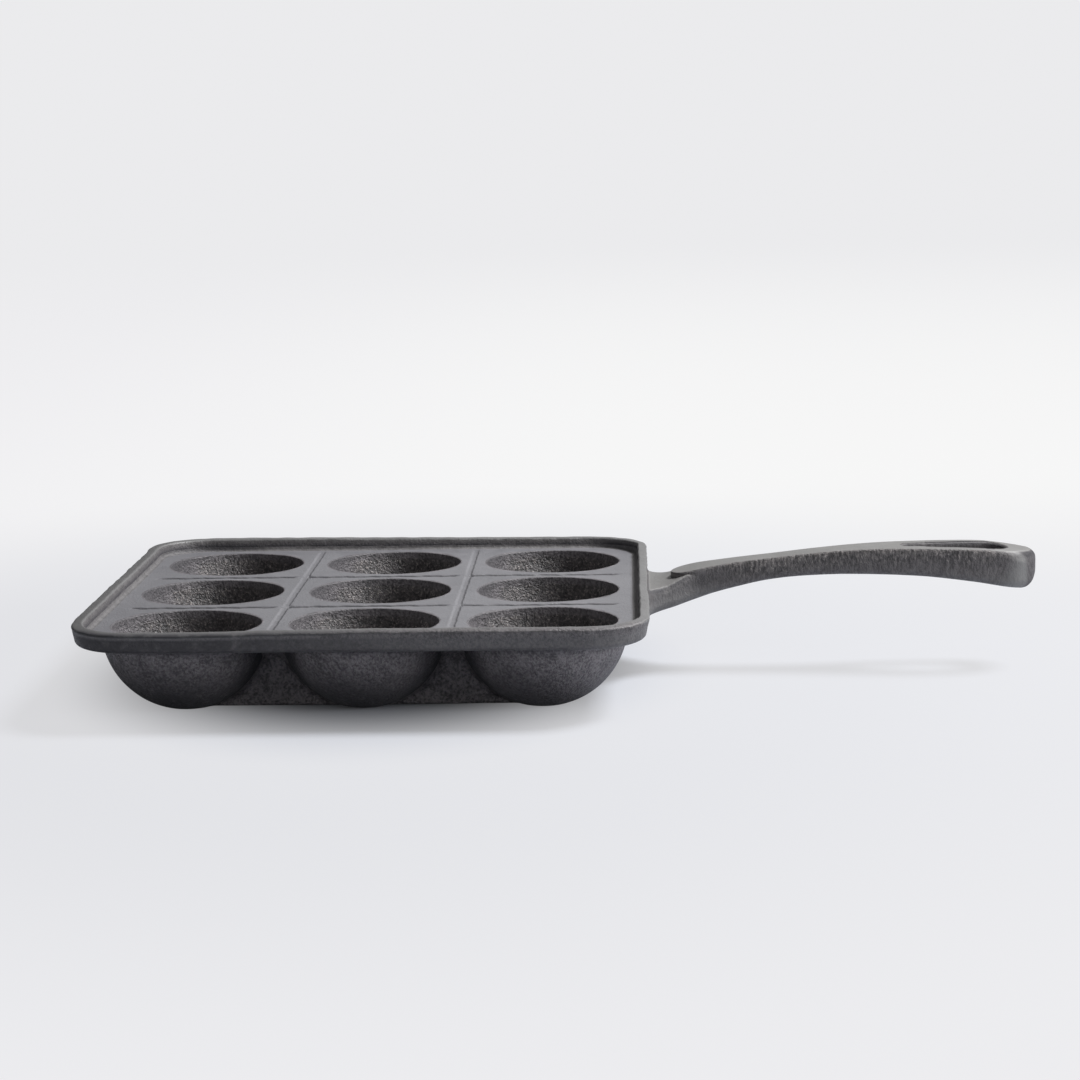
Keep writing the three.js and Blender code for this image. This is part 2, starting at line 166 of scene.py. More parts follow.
@dataclass(frozen=True)
class Casting:
    """Sizes that the whole casting shares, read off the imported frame."""

    deck_top: float
    deck_underside: float
    rim_top: float
    plate_half: float
    cell_half: float
    tip: float

    @classmethod
    def from_frame(cls) -> "Casting":
        """Reads the casting's main levels and reaches from the frame's nodes.

        Returns:
            The casting's sizes.
        """
        cell_low, cell_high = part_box("cup_middle_centre")
        rim_low, rim_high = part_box("rim_frame")
        eye_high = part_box("hanging_eye")[1]
        return cls(
            deck_top=cell_high.z,
            deck_underside=rim_low.z,
            rim_top=rim_high.z,
            plate_half=rim_high.x,
            cell_half=(cell_high.x - cell_low.x) / 2,
            tip=eye_high.x,
        )

    @property
    def pitch(self) -> float:
        """Distance between two cups' axes."""
        return 2 * self.cell_half

    @property
    def field_half(self) -> float:
        """Half the side of the field of nine cells."""
        return 3 * self.cell_half

    @property
    def seam(self) -> float:
        """Width of the rim, from its outer face in to its seam with the field."""
        return self.plate_half - self.field_half


@dataclass(frozen=True)
class CastSkin:
    """The uneven skin of a sand casting, as small shifts of its points."""

    wave_length: float = 21 * MM
    wave_height: float = 0.11 * MM
    ripple_length: float = 6.5 * MM
    ripple_height: float = 0.035 * MM
    seed_shift: Vector = Vector((3.1, 7.7, 1.3))

    def shift(self, points: np.ndarray) -> np.ndarray:
        """Moves points by a smooth field that depends on their place alone, so seams stay shut.

        Args:
            points: Places, in an array of any shape whose last axis is theirs.

        Returns:
            The shifted places in the same shape, none of them under the table.
        """
        places = points.reshape(-1, 3)
        moved = places.copy()
        for length, height in (
            (self.wave_length, self.wave_height),
            (self.ripple_length, self.ripple_height),
        ):
            for i, place in enumerate(places):
                field = noise.noise_vector(Vector(place) / length + self.seed_shift)
                moved[i] += height * np.array(field)
        moved[:, 2] = np.maximum(moved[:, 2], 0.0)
        return moved.reshape(points.shape)


class Skin:
    """A closed mesh over rings of points, with the finish of each point."""

    def __init__(self, name: str) -> None:
        """Starts an empty skin with the name of the piece that it becomes.

        Args:
            name: Name of the piece's object and mesh.
        """
        self.name = name
        self.points: list[np.ndarray] = []
        self.finishes: list[np.ndarray] = []
        self.faces: list[tuple[int, ...]] = []
        self.count = 0

    def add_points(self, points: np.ndarray, finish: np.ndarray | Finish) -> int:
        """Adds points and returns the index of the first.

        Args:
            points: The new places.
            finish: One finish for all, or a pair for each point.

        Returns:
            The first one's index.
        """
        first = self.count
        self.points.append(np.asarray(points, dtype=float).reshape(-1, 3))
        number = len(self.points[-1])
        pairs = finish.value if isinstance(finish, Finish) else finish
        self.finishes.append(np.broadcast_to(pairs, (number, 2)).astype(float))
        self.count += number
        return first

    def add_rings(
        self, rings: np.ndarray, finish: np.ndarray | Finish, torus: bool = False
    ) -> None:
        """Joins rings of equal count by a skin.

        Args:
            rings: An array of rings, points and coordinates.
            finish: One finish for all, or a pair of grain and painted shade for each point.
            torus: Whether the last ring joins the first again.
        """
        ring_count, size = rings.shape[:2]
        pairs = finish if isinstance(finish, Finish) else finish.reshape(-1, 2)
        first = self.add_points(rings.reshape(-1, 3), pairs)
        links = ring_count if torus else ring_count - 1
        for ring in range(links):
            here = first + ring * size
            there = first + (ring + 1) % ring_count * size
            for i in range(size):
                j = (i + 1) % size
                self.faces.append((here + i, here + j, there + j, there + i))

    def add_pole(self, point: np.ndarray, finish: Finish, end: End, size: int) -> None:
        """Closes one end with a fan, the last end before the first.

        Args:
            point: The fan's middle.
            finish: Its finish.
            end: Which end it closes.
            size: Points in a ring.
        """
        start = 0 if end is End.FIRST else self.count - size
        pole = self.add_points(point, finish)
        for i in range(size):
            j = (i + 1) % size
            edge = (start + j, start + i) if end is End.FIRST else (start + i, start + j)
            self.faces.append((pole, *edge))

    def close_ends(self, rings: np.ndarray, finish: Finish) -> None:
        """Closes both ends of a run of rings with fans round their middles."""
        for end, ring in ((End.LAST, rings[-1]), (End.FIRST, rings[0])):
            self.add_pole(ring.mean(axis=0), finish, end, len(ring))

    def build(self, material: bpy.types.Material, crease: float) -> bpy.types.Object:
        """Makes the Blender object, smooth but for edges sharper than the crease angle.

        Args:
            material: The finish of the piece.
            crease: Least angle of a sharp edge, in radians.

        Returns:
            The new object, linked to the scene.
        """
        points = np.concatenate(self.points)
        mesh = bpy.data.meshes.new(self.name)
        mesh.from_pydata(points.tolist(), [], outward(points, self.faces))
        mesh.validate()
        store_finish(mesh, np.concatenate(self.finishes))
        mesh.shade_smooth()
        mesh.set_sharp_from_angle(angle=crease)
        mesh.materials.append(material)
        piece = bpy.data.objects.new(self.name, mesh)
        bpy.context.scene.collection.objects.link(piece)
        return piece


def store_finish(mesh: bpy.types.Mesh, finishes: np.ndarray) -> None:
    """Stores grain and painted shade for each point of a mesh.

    Args:
        mesh: The mesh, which gets the layers that it lacks.
        finishes: A pair of grain and painted shade for each point.
    """
    for column, name in enumerate(("grain", "painted_shade")):
        layer = mesh.attributes.get(name) or mesh.attributes.new(name, "FLOAT", "POINT")
        layer.data.foreach_set("value", np.ascontiguousarray(finishes[:, column]))


def outward(points: np.ndarray, faces: list[tuple[int, ...]]) -> list[tuple[int, ...]]:
    """Turns all faces over if the closed mesh that they form is inside out.

    Args:
        points: The mesh's points.
        faces: Its faces, of three or four corners.

    Returns:
        The faces, all turned over or none.
    """
    corners = np.array([(*face, face[-1]) if len(face) == 3 else face for face in faces])
    a, b, c, d = (points[corners[:, i]] for i in range(4))
    halves = np.cross(b, c) + np.cross(c, d)
    if float(np.sum(a * halves)) >= 0.0:
        return faces
    return [tuple(reversed(face)) for face in faces]


def mount_piece(piece: bpy.types.Object, nodes: list[str]) -> bpy.types.Object:
    """Lets a piece stand for its frame nodes and ride on the pan's body.

    Args:
        piece: The piece.
        nodes: The frame nodes that it replaces.

    Returns:
        The piece.
    """
    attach(piece, BODY)
    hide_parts(*nodes)
    LOG.info("%s stands for %s, %d faces", piece.name, ", ".join(nodes), len(piece.data.polygons))
    return piece


@dataclass(frozen=True)
class Score:
    """A line scored in the deck between cups: the axis across it, its section and its wander."""

    across: int
    half_width: float
    depth: float
    reach: float
    wall_share: float
    wobble: float
    outer_steepness: float = 1.0


@dataclass
class CupField:
    """Nine hemispherical cups in the deck, each with its square of deck and its scored edges."""

    casting: Casting
    skin: CastSkin
    material: bpy.types.Material
    cup_radius: float = 20 * MM
    wall: float = 3 * MM
    lip: float = 0.3 * MM
    lip_grain: tuple = (0.5 * MM, 2.6 * MM)
    cove: float = 1.2 * MM
    foot_edge: float = 0.35 * MM
    corner_radius: float = 13.5 * MM
    row_score: Score = Score(
        across=1,
        half_width=1.7 * MM,
        depth=0.9 * MM,
        reach=67.8 * MM,
        wall_share=1.0,
        wobble=0.34 * MM,
    )
    column_score: Score = Score(
        across=0,
        half_width=1.5 * MM,
        depth=0.22 * MM,
        reach=70 * MM,
        wall_share=0.6,
        wobble=0.12 * MM,
        outer_steepness=0.6,
    )
    score_wave: float = 3.1 * MM
    score_run_out: float = 1.4 * MM
    wander_phase: float = 2.1
    wander_waves: tuple = ((2.3, 1.0, 0.6), (5.1, 3.0, 0.4))
    bead_width: float = 3.6 * MM
    bead_shares: tuple = ((-1.15, -0.9), (0.15, -0.05))
    # painted shade in the scored lines
    row_shade: float = 0.95
    row_shade_shares: tuple = (0.02, 0.28)
    # painted shade: a thin dark line on one wall of the lines between columns
    shade_line_offset: float = 0.6 * MM
    shade_line_shares: tuple = (1.1, 0.3)
    column_shade: float = 0.6
    column_shade_shares: tuple = (0.0, 0.3)
    # painted shade growing towards the cups' feet
    shaded_foot_shares: tuple = (0.16, 0.98)
    web_shade: tuple = (0.64, 0.93)
    cove_shade: tuple = (1.5 * MM, 0.4 * MM)
    # painted light: less painted shade towards the pan's lit right
    lit_right: float = 0.45
    lit_right_shares: tuple = (0.2, 0.9)
    # painted shade on the cups' left walls, less in the front row
    left_shade: float = 0.8
    left_shade_less_in_front: float = 0.4
    left_shade_shares: tuple = (0.6, 0.9)
    deck_shares: tuple = (0.05, 0.2, 0.45, 0.72)
    edge_shares: tuple = (
        1.4, 1.2, 1.08, 0.98, 0.88, 0.78, 0.68, 0.58, 0.48, 0.38, 0.28, 0.18, 0.08, 0.0,
    )
    under_shares: tuple = (0.0, 0.35, 0.7)
    sides: int = 192
    arc_rings: int = 30
    edge_rings: int = 6
    crease: float = math.radians(50)

    def directions(self) -> np.ndarray:
        """Unit directions of a cell's radial lines, the same in every cell."""
        angles = np.arange(self.sides) * 2 * math.pi / self.sides
        return np.stack([np.cos(angles), np.sin(angles)], axis=1)

    def centre(self, column: int, row: int) -> np.ndarray:
        """Place of a cup's axis."""
        return np.array([(column - 1) * self.casting.pitch, (row - 1) * self.casting.pitch])

    def border(self, column: int, row: int) -> np.ndarray:
        """Distance from a cup's axis to its cell's border along each radial line.

        Args:
            column, row: The cell's place in the field, from 0.

        Returns:
            One distance for each radial line, rounded at the field's own corners.
        """
        half = self.casting.cell_half
        directions = self.directions()
        reach = half / np.abs(directions).max(axis=1)
        if column == 1 or row == 1:
            return reach
        outwards = np.array([column - 1, row - 1])
        middle = outwards * (half - self.corner_radius)
        points = directions * reach[:, None]
        beyond = np.all((points - middle) * outwards > 0, axis=1)
        along = directions @ middle
        to_arc = along + np.sqrt(
            np.maximum(along**2 - middle @ middle + self.corner_radius**2, 0.0)
        )
        return np.where(beyond, to_arc, reach)

    def score_fall(self, points: np.ndarray, score: Score) -> np.ndarray:
        """How deep the scored lines of one direction lie at places on the deck.

        Args:
            points: The places.
            score: The line's sizes.

        Returns:
            One depth for each place.
        """
        beside = self.beside_line(points, score)
        steepness = np.where(beside > 0.0, score.outer_steepness, 1.0)
        away = np.abs(beside) / (score.half_width * steepness)
        line = smoothstep(0.0, score.wall_share, 1.0 - away)
        run_out = score.reach - np.abs(points[:, 1 - score.across])
        return score.depth * line * smoothstep(0.0, self.score_run_out, run_out)

    def beside_line(self, points: np.ndarray, score: Score) -> np.ndarray:
        """Signed distances from the middle of the nearest scored line, which wanders a little.

        Args:
            points: Places on the deck.
            score: The lines' sizes.

        Returns:
            One distance for each place, above 0 away from the pan's middle.
        """
        run = points[:, 1 - score.across] / self.score_wave
        phase = self.wander_phase * np.sign(points[:, score.across])
        wander = sum(
            share * np.sin(rate * run + turns * phase) for rate, turns, share in self.wander_waves
        )
        place = points[:, score.across] + score.wobble * wander
        return place - np.sign(place) * self.casting.cell_half

    def row_fall(self, points: np.ndarray) -> np.ndarray:
        """Depth of the lines between rows of cups, which stop at the beads between columns.

        Args:
            points: Places on the deck.

        Returns:
            One depth for each place.
        """
        beside = self.beside_line(points, self.column_score) / self.bead_width
        rise, fall = self.bead_shares
        bead = smoothstep(*rise, beside) * smoothstep(*fall, beside)
        return self.score_fall(points, self.row_score) * (1.0 - bead)

    def column_fall(self, points: np.ndarray) -> np.ndarray:
        """Depth of the lines between columns of cups."""
        return self.score_fall(points, self.column_score)

    def flat_ring(self, column: int, row: int, distance: np.ndarray) -> np.ndarray:
        """A ring in plan round a cup's axis, at a distance along each radial line."""
        return self.centre(column, row) + self.directions() * distance[:, None]

    def deck_rings(self, column: int, row: int) -> list[np.ndarray]:
        """Rings over the deck from a cup's lip out to its cell's border.

        Args:
            column, row: The cell's place in the field, from 0.

        Returns:
            The rings, from the inside out.
        """
        reach = self.border(column, row)
        lip_reach = math.sqrt((self.cup_radius + self.lip) ** 2 - self.lip**2)
        width = self.column_score.half_width
        half = self.casting.cell_half
        edges = [reach * (1 - share * width / half) for share in self.edge_shares]
        open_deck = edges[0] - lip_reach
        distances = [lip_reach + open_deck * share for share in self.deck_shares] + edges
        return [self.on_deck(self.flat_ring(column, row, distance)) for distance in distances]

    def on_deck(self, ring: np.ndarray) -> np.ndarray:
        """Lays a flat ring on the deck, down into the scored lines."""
        fall = np.maximum(self.row_fall(ring), self.column_fall(ring))
        return at_height(ring, self.casting.deck_top - fall)

    def revolved(self, profile: np.ndarray, centre: np.ndarray) -> list[np.ndarray]:
        """Rings of a profile of distances and heights round a cup's axis."""
        around = self.directions()
        return [at_height(centre + distance * around, height) for distance, height in profile]

    def inside_profile(self) -> np.ndarray:
        """Profile of the hollow from its bottom up to the lip's outer edge.

        Returns:
            Distances from the axis and heights.
        """
        top = self.casting.deck_top
        turn = math.asin(self.lip / (self.cup_radius + self.lip))
        reach = (self.cup_radius + self.lip) * math.cos(turn)
        bowl = arc(0, top, self.cup_radius, -math.pi / 2, -turn, self.arc_rings)[1:]
        lip = arc(reach, top - self.lip, self.lip, math.pi - turn, math.pi / 2, self.edge_rings)
        return np.concatenate([bowl, lip[1:]])

    def outside_profile(self) -> np.ndarray:
        """Profile of the outside from the deck's underside down to the ground foot.

        Returns:
            Distances from the axis and heights.
        """
        top = self.casting.deck_top
        outer = self.cup_radius + self.wall
        low = top - self.casting.deck_underside + self.cove
        turn = math.asin(low / (outer + self.cove))
        reach = (outer + self.cove) * math.cos(turn)
        foot_turn = math.asin((top - self.foot_edge) / outer)
        foot = math.sqrt(outer**2 - top**2)
        cove = arc(reach, top - low, self.cove, math.pi / 2, math.pi - turn, self.edge_rings)
        bowl = arc(0, top, outer, -turn, -foot_turn, self.arc_rings)
        ground = np.array([[foot - self.foot_edge, 0.0], [foot - 3 * self.foot_edge, 0.0]])
        return np.concatenate([cove, bowl[1:], ground])

    def build_cell(self, column: int, row: int) -> bpy.types.Object:
        """Builds one cup with its deck as a closed piece.

        Args:
            column, row: The cell's place in the field, from 0.

        Returns:
            The finished piece.
        """
        centre = self.centre(column, row)
        reach = self.border(column, row)
        inside = self.revolved(self.inside_profile(), centre)
        deck = self.deck_rings(column, row)
        under = []
        outside = self.outside_profile()
        for share in self.under_shares:
            distance = reach + (outside[0, 0] - reach) * share
            flat = self.flat_ring(column, row, distance)
            under.append(at_height(flat, self.casting.deck_underside))
        rings = np.array(inside + deck + under + self.revolved(outside, centre))
        finish = self.outside_finish(rings, self.near_web(column, row))
        finish[:len(inside)] = self.inside_finish(rings[:len(inside)])
        for i in range(len(inside), len(inside) + len(deck)):
            finish[i] = self.deck_finish(rings[i, :, :2])
        finish[len(inside), :, 0] = Finish.SHADED_LIP.value[0]
        place = f"{ROWS[row]}_{COLUMNS[column]}"
        skin = Skin(f"bowl_{place}")
        skin.add_rings(self.skin.shift(rings), finish)
        bottom = np.array([*centre, self.casting.deck_top - self.cup_radius])
        foot = np.array([*centre, 0.0])
        skin.add_pole(self.skin.shift(foot), Finish.GROUND, End.LAST, self.sides)
        skin.add_pole(self.skin.shift(bottom), Finish.COARSE, End.FIRST, self.sides)
        piece = skin.build(self.material, self.crease)
        return mount_piece(piece, [f"cup_{place}"])

    def near_web(self, column: int, row: int) -> np.ndarray:
        """How much each direction from a cup's axis points at a neighbour, from 0 to 1.

        Args:
            column, row: The cell's place in the field, from 0.

        Returns:
            One share for each radial line.
        """
        near = np.zeros(self.sides)
        x, y = self.directions().T
        for across, along in ((1, 0), (-1, 0), (0, 1), (0, -1)):
            if 0 <= column + across < len(COLUMNS) and 0 <= row + along < len(ROWS):
                near = np.maximum(near, smoothstep(*self.web_shade, x * across + y * along))
        return near

    def outside_finish(self, rings: np.ndarray, near: np.ndarray) -> np.ndarray:
        """Finish under the deck: painted shade towards the foot and at the webs, less of it on the
        lit right.

        Args:
            rings: The cell's rings.
            near: How much each direction points at a web.

        Returns:
            A pair for each point.
        """
        heights = rings[:, :, 2]
        share = heights / self.casting.deck_underside
        # Painted shade, growing towards the foot on the table.
        finish = Finish.SHADED_FOOT.towards(Finish.OUTSIDE, smoothstep(*self.shaded_foot_shares, share))
        cove = self.casting.deck_underside - heights
        shade = np.maximum(near[None, :], smoothstep(*self.cove_shade, cove))
        finish = Finish.SHADE.over(finish, shade)
        # Painted light: less painted shade towards the pan's right, which the side lamp lights.
        right = share_step(self.lit_right_shares, self.casting.plate_half, rings[:, :, 0])
        finish[:, :, 1] *= 1.0 - self.lit_right * right
        return finish

    def inside_finish(self, rings: np.ndarray) -> np.ndarray:
        """Finish of the hollow: coarse below its lip, painted shade under it and on the left, less
        so in the front row.

        Args:
            rings: The hollow's rings.

        Returns:
            A pair for each point.
        """
        fall = self.casting.deck_top - rings[:, :, 2]
        # Painted shade and a smoother skin just below the lip, coarse deeper down.
        finish = Finish.SHADED_LIP.towards(Finish.COARSE, smoothstep(*self.lip_grain, fall))
        # Painted shade on each cup's left wall, weaker in the front row.
        axis = rings[0, :, :2].mean(axis=0)
        beside = (axis[0] - rings[:, :, 0]) / self.cup_radius
        front = smoothstep(0.0, -self.casting.pitch, axis[1])
        amount = self.left_shade - self.left_shade_less_in_front * front
        return Finish.SHADED_LEFT.over(finish, amount * smoothstep(*self.left_shade_shares, beside))

    def deck_finish(self, places: np.ndarray) -> np.ndarray:
        """Finish of places on the deck: smooth, with painted shade in the scored lines.

        Args:
            places: Places on the deck.

        Returns:
            A pair for each place.
        """
        finish = np.tile(Finish.SMOOTH.value, (len(places), 1))
        # Painted shade in the lines between rows, deepest at their keels.
        line = self.row_fall(places) / self.row_score.depth
        painted_shade = smoothstep(*self.row_shade_shares, line) * self.row_shade
        # Painted shade: a thin dark line on the outer wall of each line between columns.
        column = self.column_fall(places) / self.column_score.depth
        beside = self.beside_line(places, self.column_score)
        flank = np.abs(beside - self.shade_line_offset) / self.shade_line_offset
        wall_shade = smoothstep(*self.shade_line_shares, flank) * smoothstep(*self.column_shade_shares, column)
        finish[:, 1] = np.maximum(painted_shade, wall_shade * self.column_shade)
        return finish

    def field_outline(self) -> np.ndarray:
        """Border points of the whole field, in order round it, which the rim meets one by one.

        Returns:
            Places in plan, each once.
        """
        near_zero = 0.001 * MM
        found = np.concatenate([
            self.flat_ring(column, row, self.border(column, row))
            for row in range(len(ROWS))
            for column in range(len(COLUMNS))
        ])
        beyond = np.maximum(np.abs(found) - self.casting.field_half + self.corner_radius, 0.0)
        from_line = np.hypot(beyond[:, 0], beyond[:, 1]) - self.corner_radius
        found = found[np.abs(from_line) < near_zero]
        found = found[np.argsort(np.arctan2(found[:, 1], found[:, 0]))]
        gaps = np.linalg.norm(found - np.roll(found, 1, axis=0), axis=1)
        return found[gaps > near_zero]

    def build(self) -> list[bpy.types.Object]:
        """Builds the nine cells.

        Returns:
            The nine pieces.
        """
        return [
            self.build_cell(column, row)
            for row in range(len(ROWS))
            for column in range(len(COLUMNS))
        ]


@dataclass
class Rim:
    """The raised rim round the cup field, swept round the field's outline."""

    casting: Casting
    skin: CastSkin
    material: bpy.types.Material
    field: CupField
    top_width: float = 3.05 * MM
    top_rise: float = 0.1 * MM
    top_slope: float = 0.45 * MM
    front_dip: float = 0.6 * MM
    back_rise: float = 0.3 * MM
    right_shift: float = 0.42 * MM
    right_narrowing: float = 0.35 * MM
    left_growth: float = 0.5 * MM
    face_draft: float = 0.75 * MM
    wall_lean: float = 0.35 * MM
    outer_round: float = 0.6 * MM
    inner_round: float = 0.75 * MM
    foot_fillet: float = 1.05 * MM
    belly_round: float = 1.7 * MM
    dent_length: float = 4.2 * MM
    dent_height: float = 0.38 * MM
    dent_shares: tuple = (0.5, 0.5, 0.3)
    dent_start: tuple = (0.3 * MM, 2 * MM)
    back_tilt: float = 2.1
    front_edge_darkening: float = 0.9
    front_grit: float = 0.6
    grit_band: tuple = (2.8 * MM, 1.0 * MM)
    face_shade: float = 0.8
    face_band: tuple = (1.2 * MM, 2.4 * MM)
    corner_shade: float = 0.5
    corner_gap: float = 0.2 * MM
    foot_shade: float = 0.6
    left_top_darkening: float = 0.14
    left_band: tuple = (0.8 * MM, 0.3 * MM)
    front_shares: tuple = (0.8, 0.9)
    back_shares: tuple = (0.7, 0.93)
    leftward_shares: tuple = (0.5, -0.6)
    outer_edge_shares: tuple = (2.0, 1.0)
    least_edge_darkening_share: float = 0.25
    least_face_shade_share: float = 0.3
    face_shade_end_shares: tuple = (0.95, 0.8)
    right_corner_shares: tuple = (0.5, 0.9)
    left_corner_shares: tuple = (-0.45, -0.7)
    left_side_shares: tuple = (-0.8, -0.9)
    wall_shares: tuple = (0.6, 1.0)
    foot_share: float = 0.5
    slope_side_shares: tuple = (0.7, 0.9)
    dip_shares: tuple = (0.1, -0.7)
    tilt_shares: tuple = (-0.6, 0.6)
    narrowed_shares: tuple = (0.5, 1.0)
    crease_share: float = 0.3
    wall_step: float = 0.25 * MM
    face_levels: int = 7
    steps: int = 7
    crease: float = math.radians(50)

    def profile(self) -> tuple[np.ndarray, np.ndarray]:
        """Closed cross-section as insets from the outer face and heights, with its finish.

        Returns:
            Insets and heights, and a pair of grain and soot for each point.
        """
        low = self.casting.deck_underside
        deck = self.casting.deck_top
        top = self.casting.rim_top + self.top_rise
        seam = self.casting.seam
        wall_foot = self.top_width + self.wall_lean
        crease = deck + self.foot_fillet + self.wall_step
        fillet = arc(wall_foot + self.foot_fillet, deck + self.foot_fillet, self.foot_fillet,
                     -math.pi / 2, -math.pi, self.steps)
        inner = arc(self.top_width - self.inner_round, top - self.inner_round,
                    self.inner_round, 0, math.pi / 2, self.steps)
        outer = arc(self.outer_round, top - self.outer_round, self.outer_round,
                    math.pi / 2, math.pi, self.steps)
        belly = arc(self.belly_round + self.face_draft, low + self.belly_round,
                    self.belly_round, math.pi, math.pi * 3 / 2, self.steps + 2)
        levels = np.linspace(top - self.outer_round, low + self.belly_round, self.face_levels)
        insets = self.face_draft * np.linspace(0.0, 1.0, self.face_levels)
        face = np.stack([insets, levels], axis=1)[1:-1]
        parts = [
            (np.array([[seam, deck]]), Finish.SMOOTH),
            (fillet, Finish.FILLET),
            # The inner wall's middle point carries painted shade.
            (np.array([[wall_foot - self.crease_share * self.wall_lean, crease]]), Finish.WALL),
            (inner[:3], Finish.FILLET),
            (inner[3:], Finish.EDGE),
            (outer, Finish.EDGE),
            (face, Finish.FACE),
            (belly, Finish.FACE),
            (np.array([[seam, low]]), Finish.OUTSIDE),
        ]
        points = np.concatenate([part for part, _ in parts])
        finishes = np.concatenate([[kind.value] * len(part) for part, kind in parts])
        return points, finishes

    def outward_normals(self, outline: np.ndarray) -> np.ndarray:
        """Directions square to the field's outline.

        Args:
            outline: Places on the outline.

        Returns:
            One unit direction for each place.
        """
        inner = self.casting.field_half - self.field.corner_radius
        beyond = np.sign(outline) * np.maximum(np.abs(outline) - inner, 0.0)
        return beyond / np.linalg.norm(beyond, axis=1, keepdims=True)

    def dents(self, rings: np.ndarray) -> np.ndarray:
        """Small unevenness of the rim's upper edges, none at the seam with the deck.

        Args:
            rings: Points by station and place in the section.

        Returns:
            The moved points.
        """
        moved = rings.copy()
        amounts = smoothstep(*self.dent_start, rings[:, :, 2] - self.casting.deck_top)
        for station, i in zip(*np.nonzero(amounts)):
            field = noise.noise_vector(Vector(rings[station, i]) / self.dent_length)
            amount = float(amounts[station, i]) * self.dent_height
            moved[station, i] += amount * np.array(field) * self.dent_shares
        return moved

    def grit_and_darkening(
        self, outline: np.ndarray, profile: np.ndarray, finish: np.ndarray
    ) -> np.ndarray:
        """Finish of all points, with grit, painted shade and darker top edges.

        Args:
            outline: The stations round the rim.
            profile: Insets and heights of a section's points.
            finish: Finish of a section's points.

        Returns:
            A pair for each station and point.
        """
        pairs = np.repeat(finish[None], len(outline), axis=0)
        half = self.casting.plate_half
        x, y = outline.T
        insets = profile[:, 0]
        below_top = self.casting.rim_top - profile[:, 1]
        front = share_step(self.front_shares, half, -y)
        back = share_step(self.back_shares, half, y)
        leftwards = share_step(self.leftward_shares, half, x)

        # Darkens the outer top edge at the front, most towards the left.
        from_edge = np.hypot(insets, below_top) / self.outer_round
        outer_edge = smoothstep(*self.outer_edge_shares, from_edge)
        edge_darkening = self.least_edge_darkening_share + (1 - self.least_edge_darkening_share) * leftwards
        shade_at_least(pairs, self.front_edge_darkening * front * edge_darkening, outer_edge)

        face_top = smoothstep(*self.grit_band, below_top) * (insets < self.face_draft)
        grit = self.front_grit * front * (1.0 - leftwards)
        pairs[:, :, 0] += grit[:, None] * face_top[None, :] * (1.0 - pairs[:, :, 0])

        # Painted shade on the front face, darkest to the left, away from the lamps on the right.
        face = (insets < 2 * self.face_draft) * smoothstep(*self.face_band, below_top)
        shaded_face = self.least_face_shade_share + (1 - self.least_face_shade_share) * leftwards
        shaded_face = self.face_shade * front * shaded_face
        shade_at_least(pairs, shaded_face * share_step(self.face_shade_end_shares, half, x), face)

        # Painted shade on the inner wall in the back right corner.
        wall = share_step(self.wall_shares, self.top_width, insets)
        wall *= below_top < self.casting.rim_top - self.casting.deck_top - self.corner_gap
        right_corner = back * share_step(self.right_corner_shares, half, x)
        shade_at_least(pairs, self.corner_shade * right_corner, wall)

        # Painted shade at the wall's foot in the back left corner.
        foot = (insets > self.top_width + self.foot_share * self.wall_lean) * wall
        left_corner = back * share_step(self.left_corner_shares, half, x)
        shade_at_least(pairs, self.foot_shade * left_corner, foot)

        # Darkens the top of the rim a little along its left side.
        top = smoothstep(*self.left_band, below_top)
        left_side = share_step(self.left_side_shares, half, x)
        shade_at_least(pairs, self.left_top_darkening * left_side, top)
        return pairs

    def settle(self, rings: np.ndarray, profile: np.ndarray, normals: np.ndarray) -> None:
        """Slopes the top outwards, dips it at the front left, and fits the width left and right.

        Args:
            rings: Points by station and place in the section, changed in place.
            profile: Insets and heights of a section's points.
            normals: Outward directions of the stations.
        """
        insets, heights = profile.T
        x, y = rings[:, 0, 0], rings[:, 0, 1]
        half = self.casting.plate_half
        above = smoothstep(self.casting.deck_top, self.casting.rim_top, heights)
        slope = self.top_slope * smoothstep(self.top_width, 0.0, insets)
        front = share_step(self.slope_side_shares, half, -y)
        back = share_step(self.slope_side_shares, half, y)
        leftwards = share_step(self.dip_shares, half, x)
        rise = self.back_rise * (1.0 - self.back_tilt * share_step(self.tilt_shares, half, x))
        fall = (1.0 - back)[:, None] * slope[None, :]
        fall += (self.front_dip * front * leftwards - rise * back)[:, None]
        rings[:, :, 2] -= fall * above[None, :]

        to_right = np.maximum(normals[:, 0], 0.0) ** 2
        to_left = np.maximum(-normals[:, 0], 0.0) ** 2
        wall_foot = self.top_width + self.wall_lean
        bend = np.clip((wall_foot - insets) / self.foot_fillet + 1.0, 0.0, 1.0)
        bend *= insets > self.top_width
        shift = self.right_shift * to_right
        rings[:, :, 0] += shift[:, None] * bend[None, :]
        lift = np.maximum(heights - self.casting.deck_top, 0.0) * (bend > 0.0)
        rings[:, :, 2] += shift[:, None] / self.foot_fillet * lift[None, :]
        outer = smoothstep(self.casting.seam, 0.0, insets)
        rings[:, :, 0] -= (self.left_growth * to_left)[:, None] * outer[None, :]
        inner = share_step(self.narrowed_shares, self.top_width, insets) * above
        rings[:, :, 0] += (self.right_narrowing * to_right)[:, None] * inner[None, :]

    def build(self) -> bpy.types.Object:
        """Builds the rim as one closed ring.

        Returns:
            The finished piece.
        """
        outline = self.field.field_outline()
        normals = self.outward_normals(outline)
        profile, finish = self.profile()
        rings = np.zeros((len(outline), len(profile), 3))
        from_seam = self.casting.seam - profile[None, :, 0:1]
        rings[:, :, :2] = outline[:, None, :] + normals[:, None, :] * from_seam
        rings[:, :, 2] = profile[None, :, 1]
        self.settle(rings, profile, normals)
        skin = Skin("rim")
        shifted = self.skin.shift(self.dents(rings))
        skin.add_rings(shifted, self.grit_and_darkening(outline, profile, finish), torus=True)
        return mount_piece(skin.build(self.material, self.crease), ["rim_frame"])


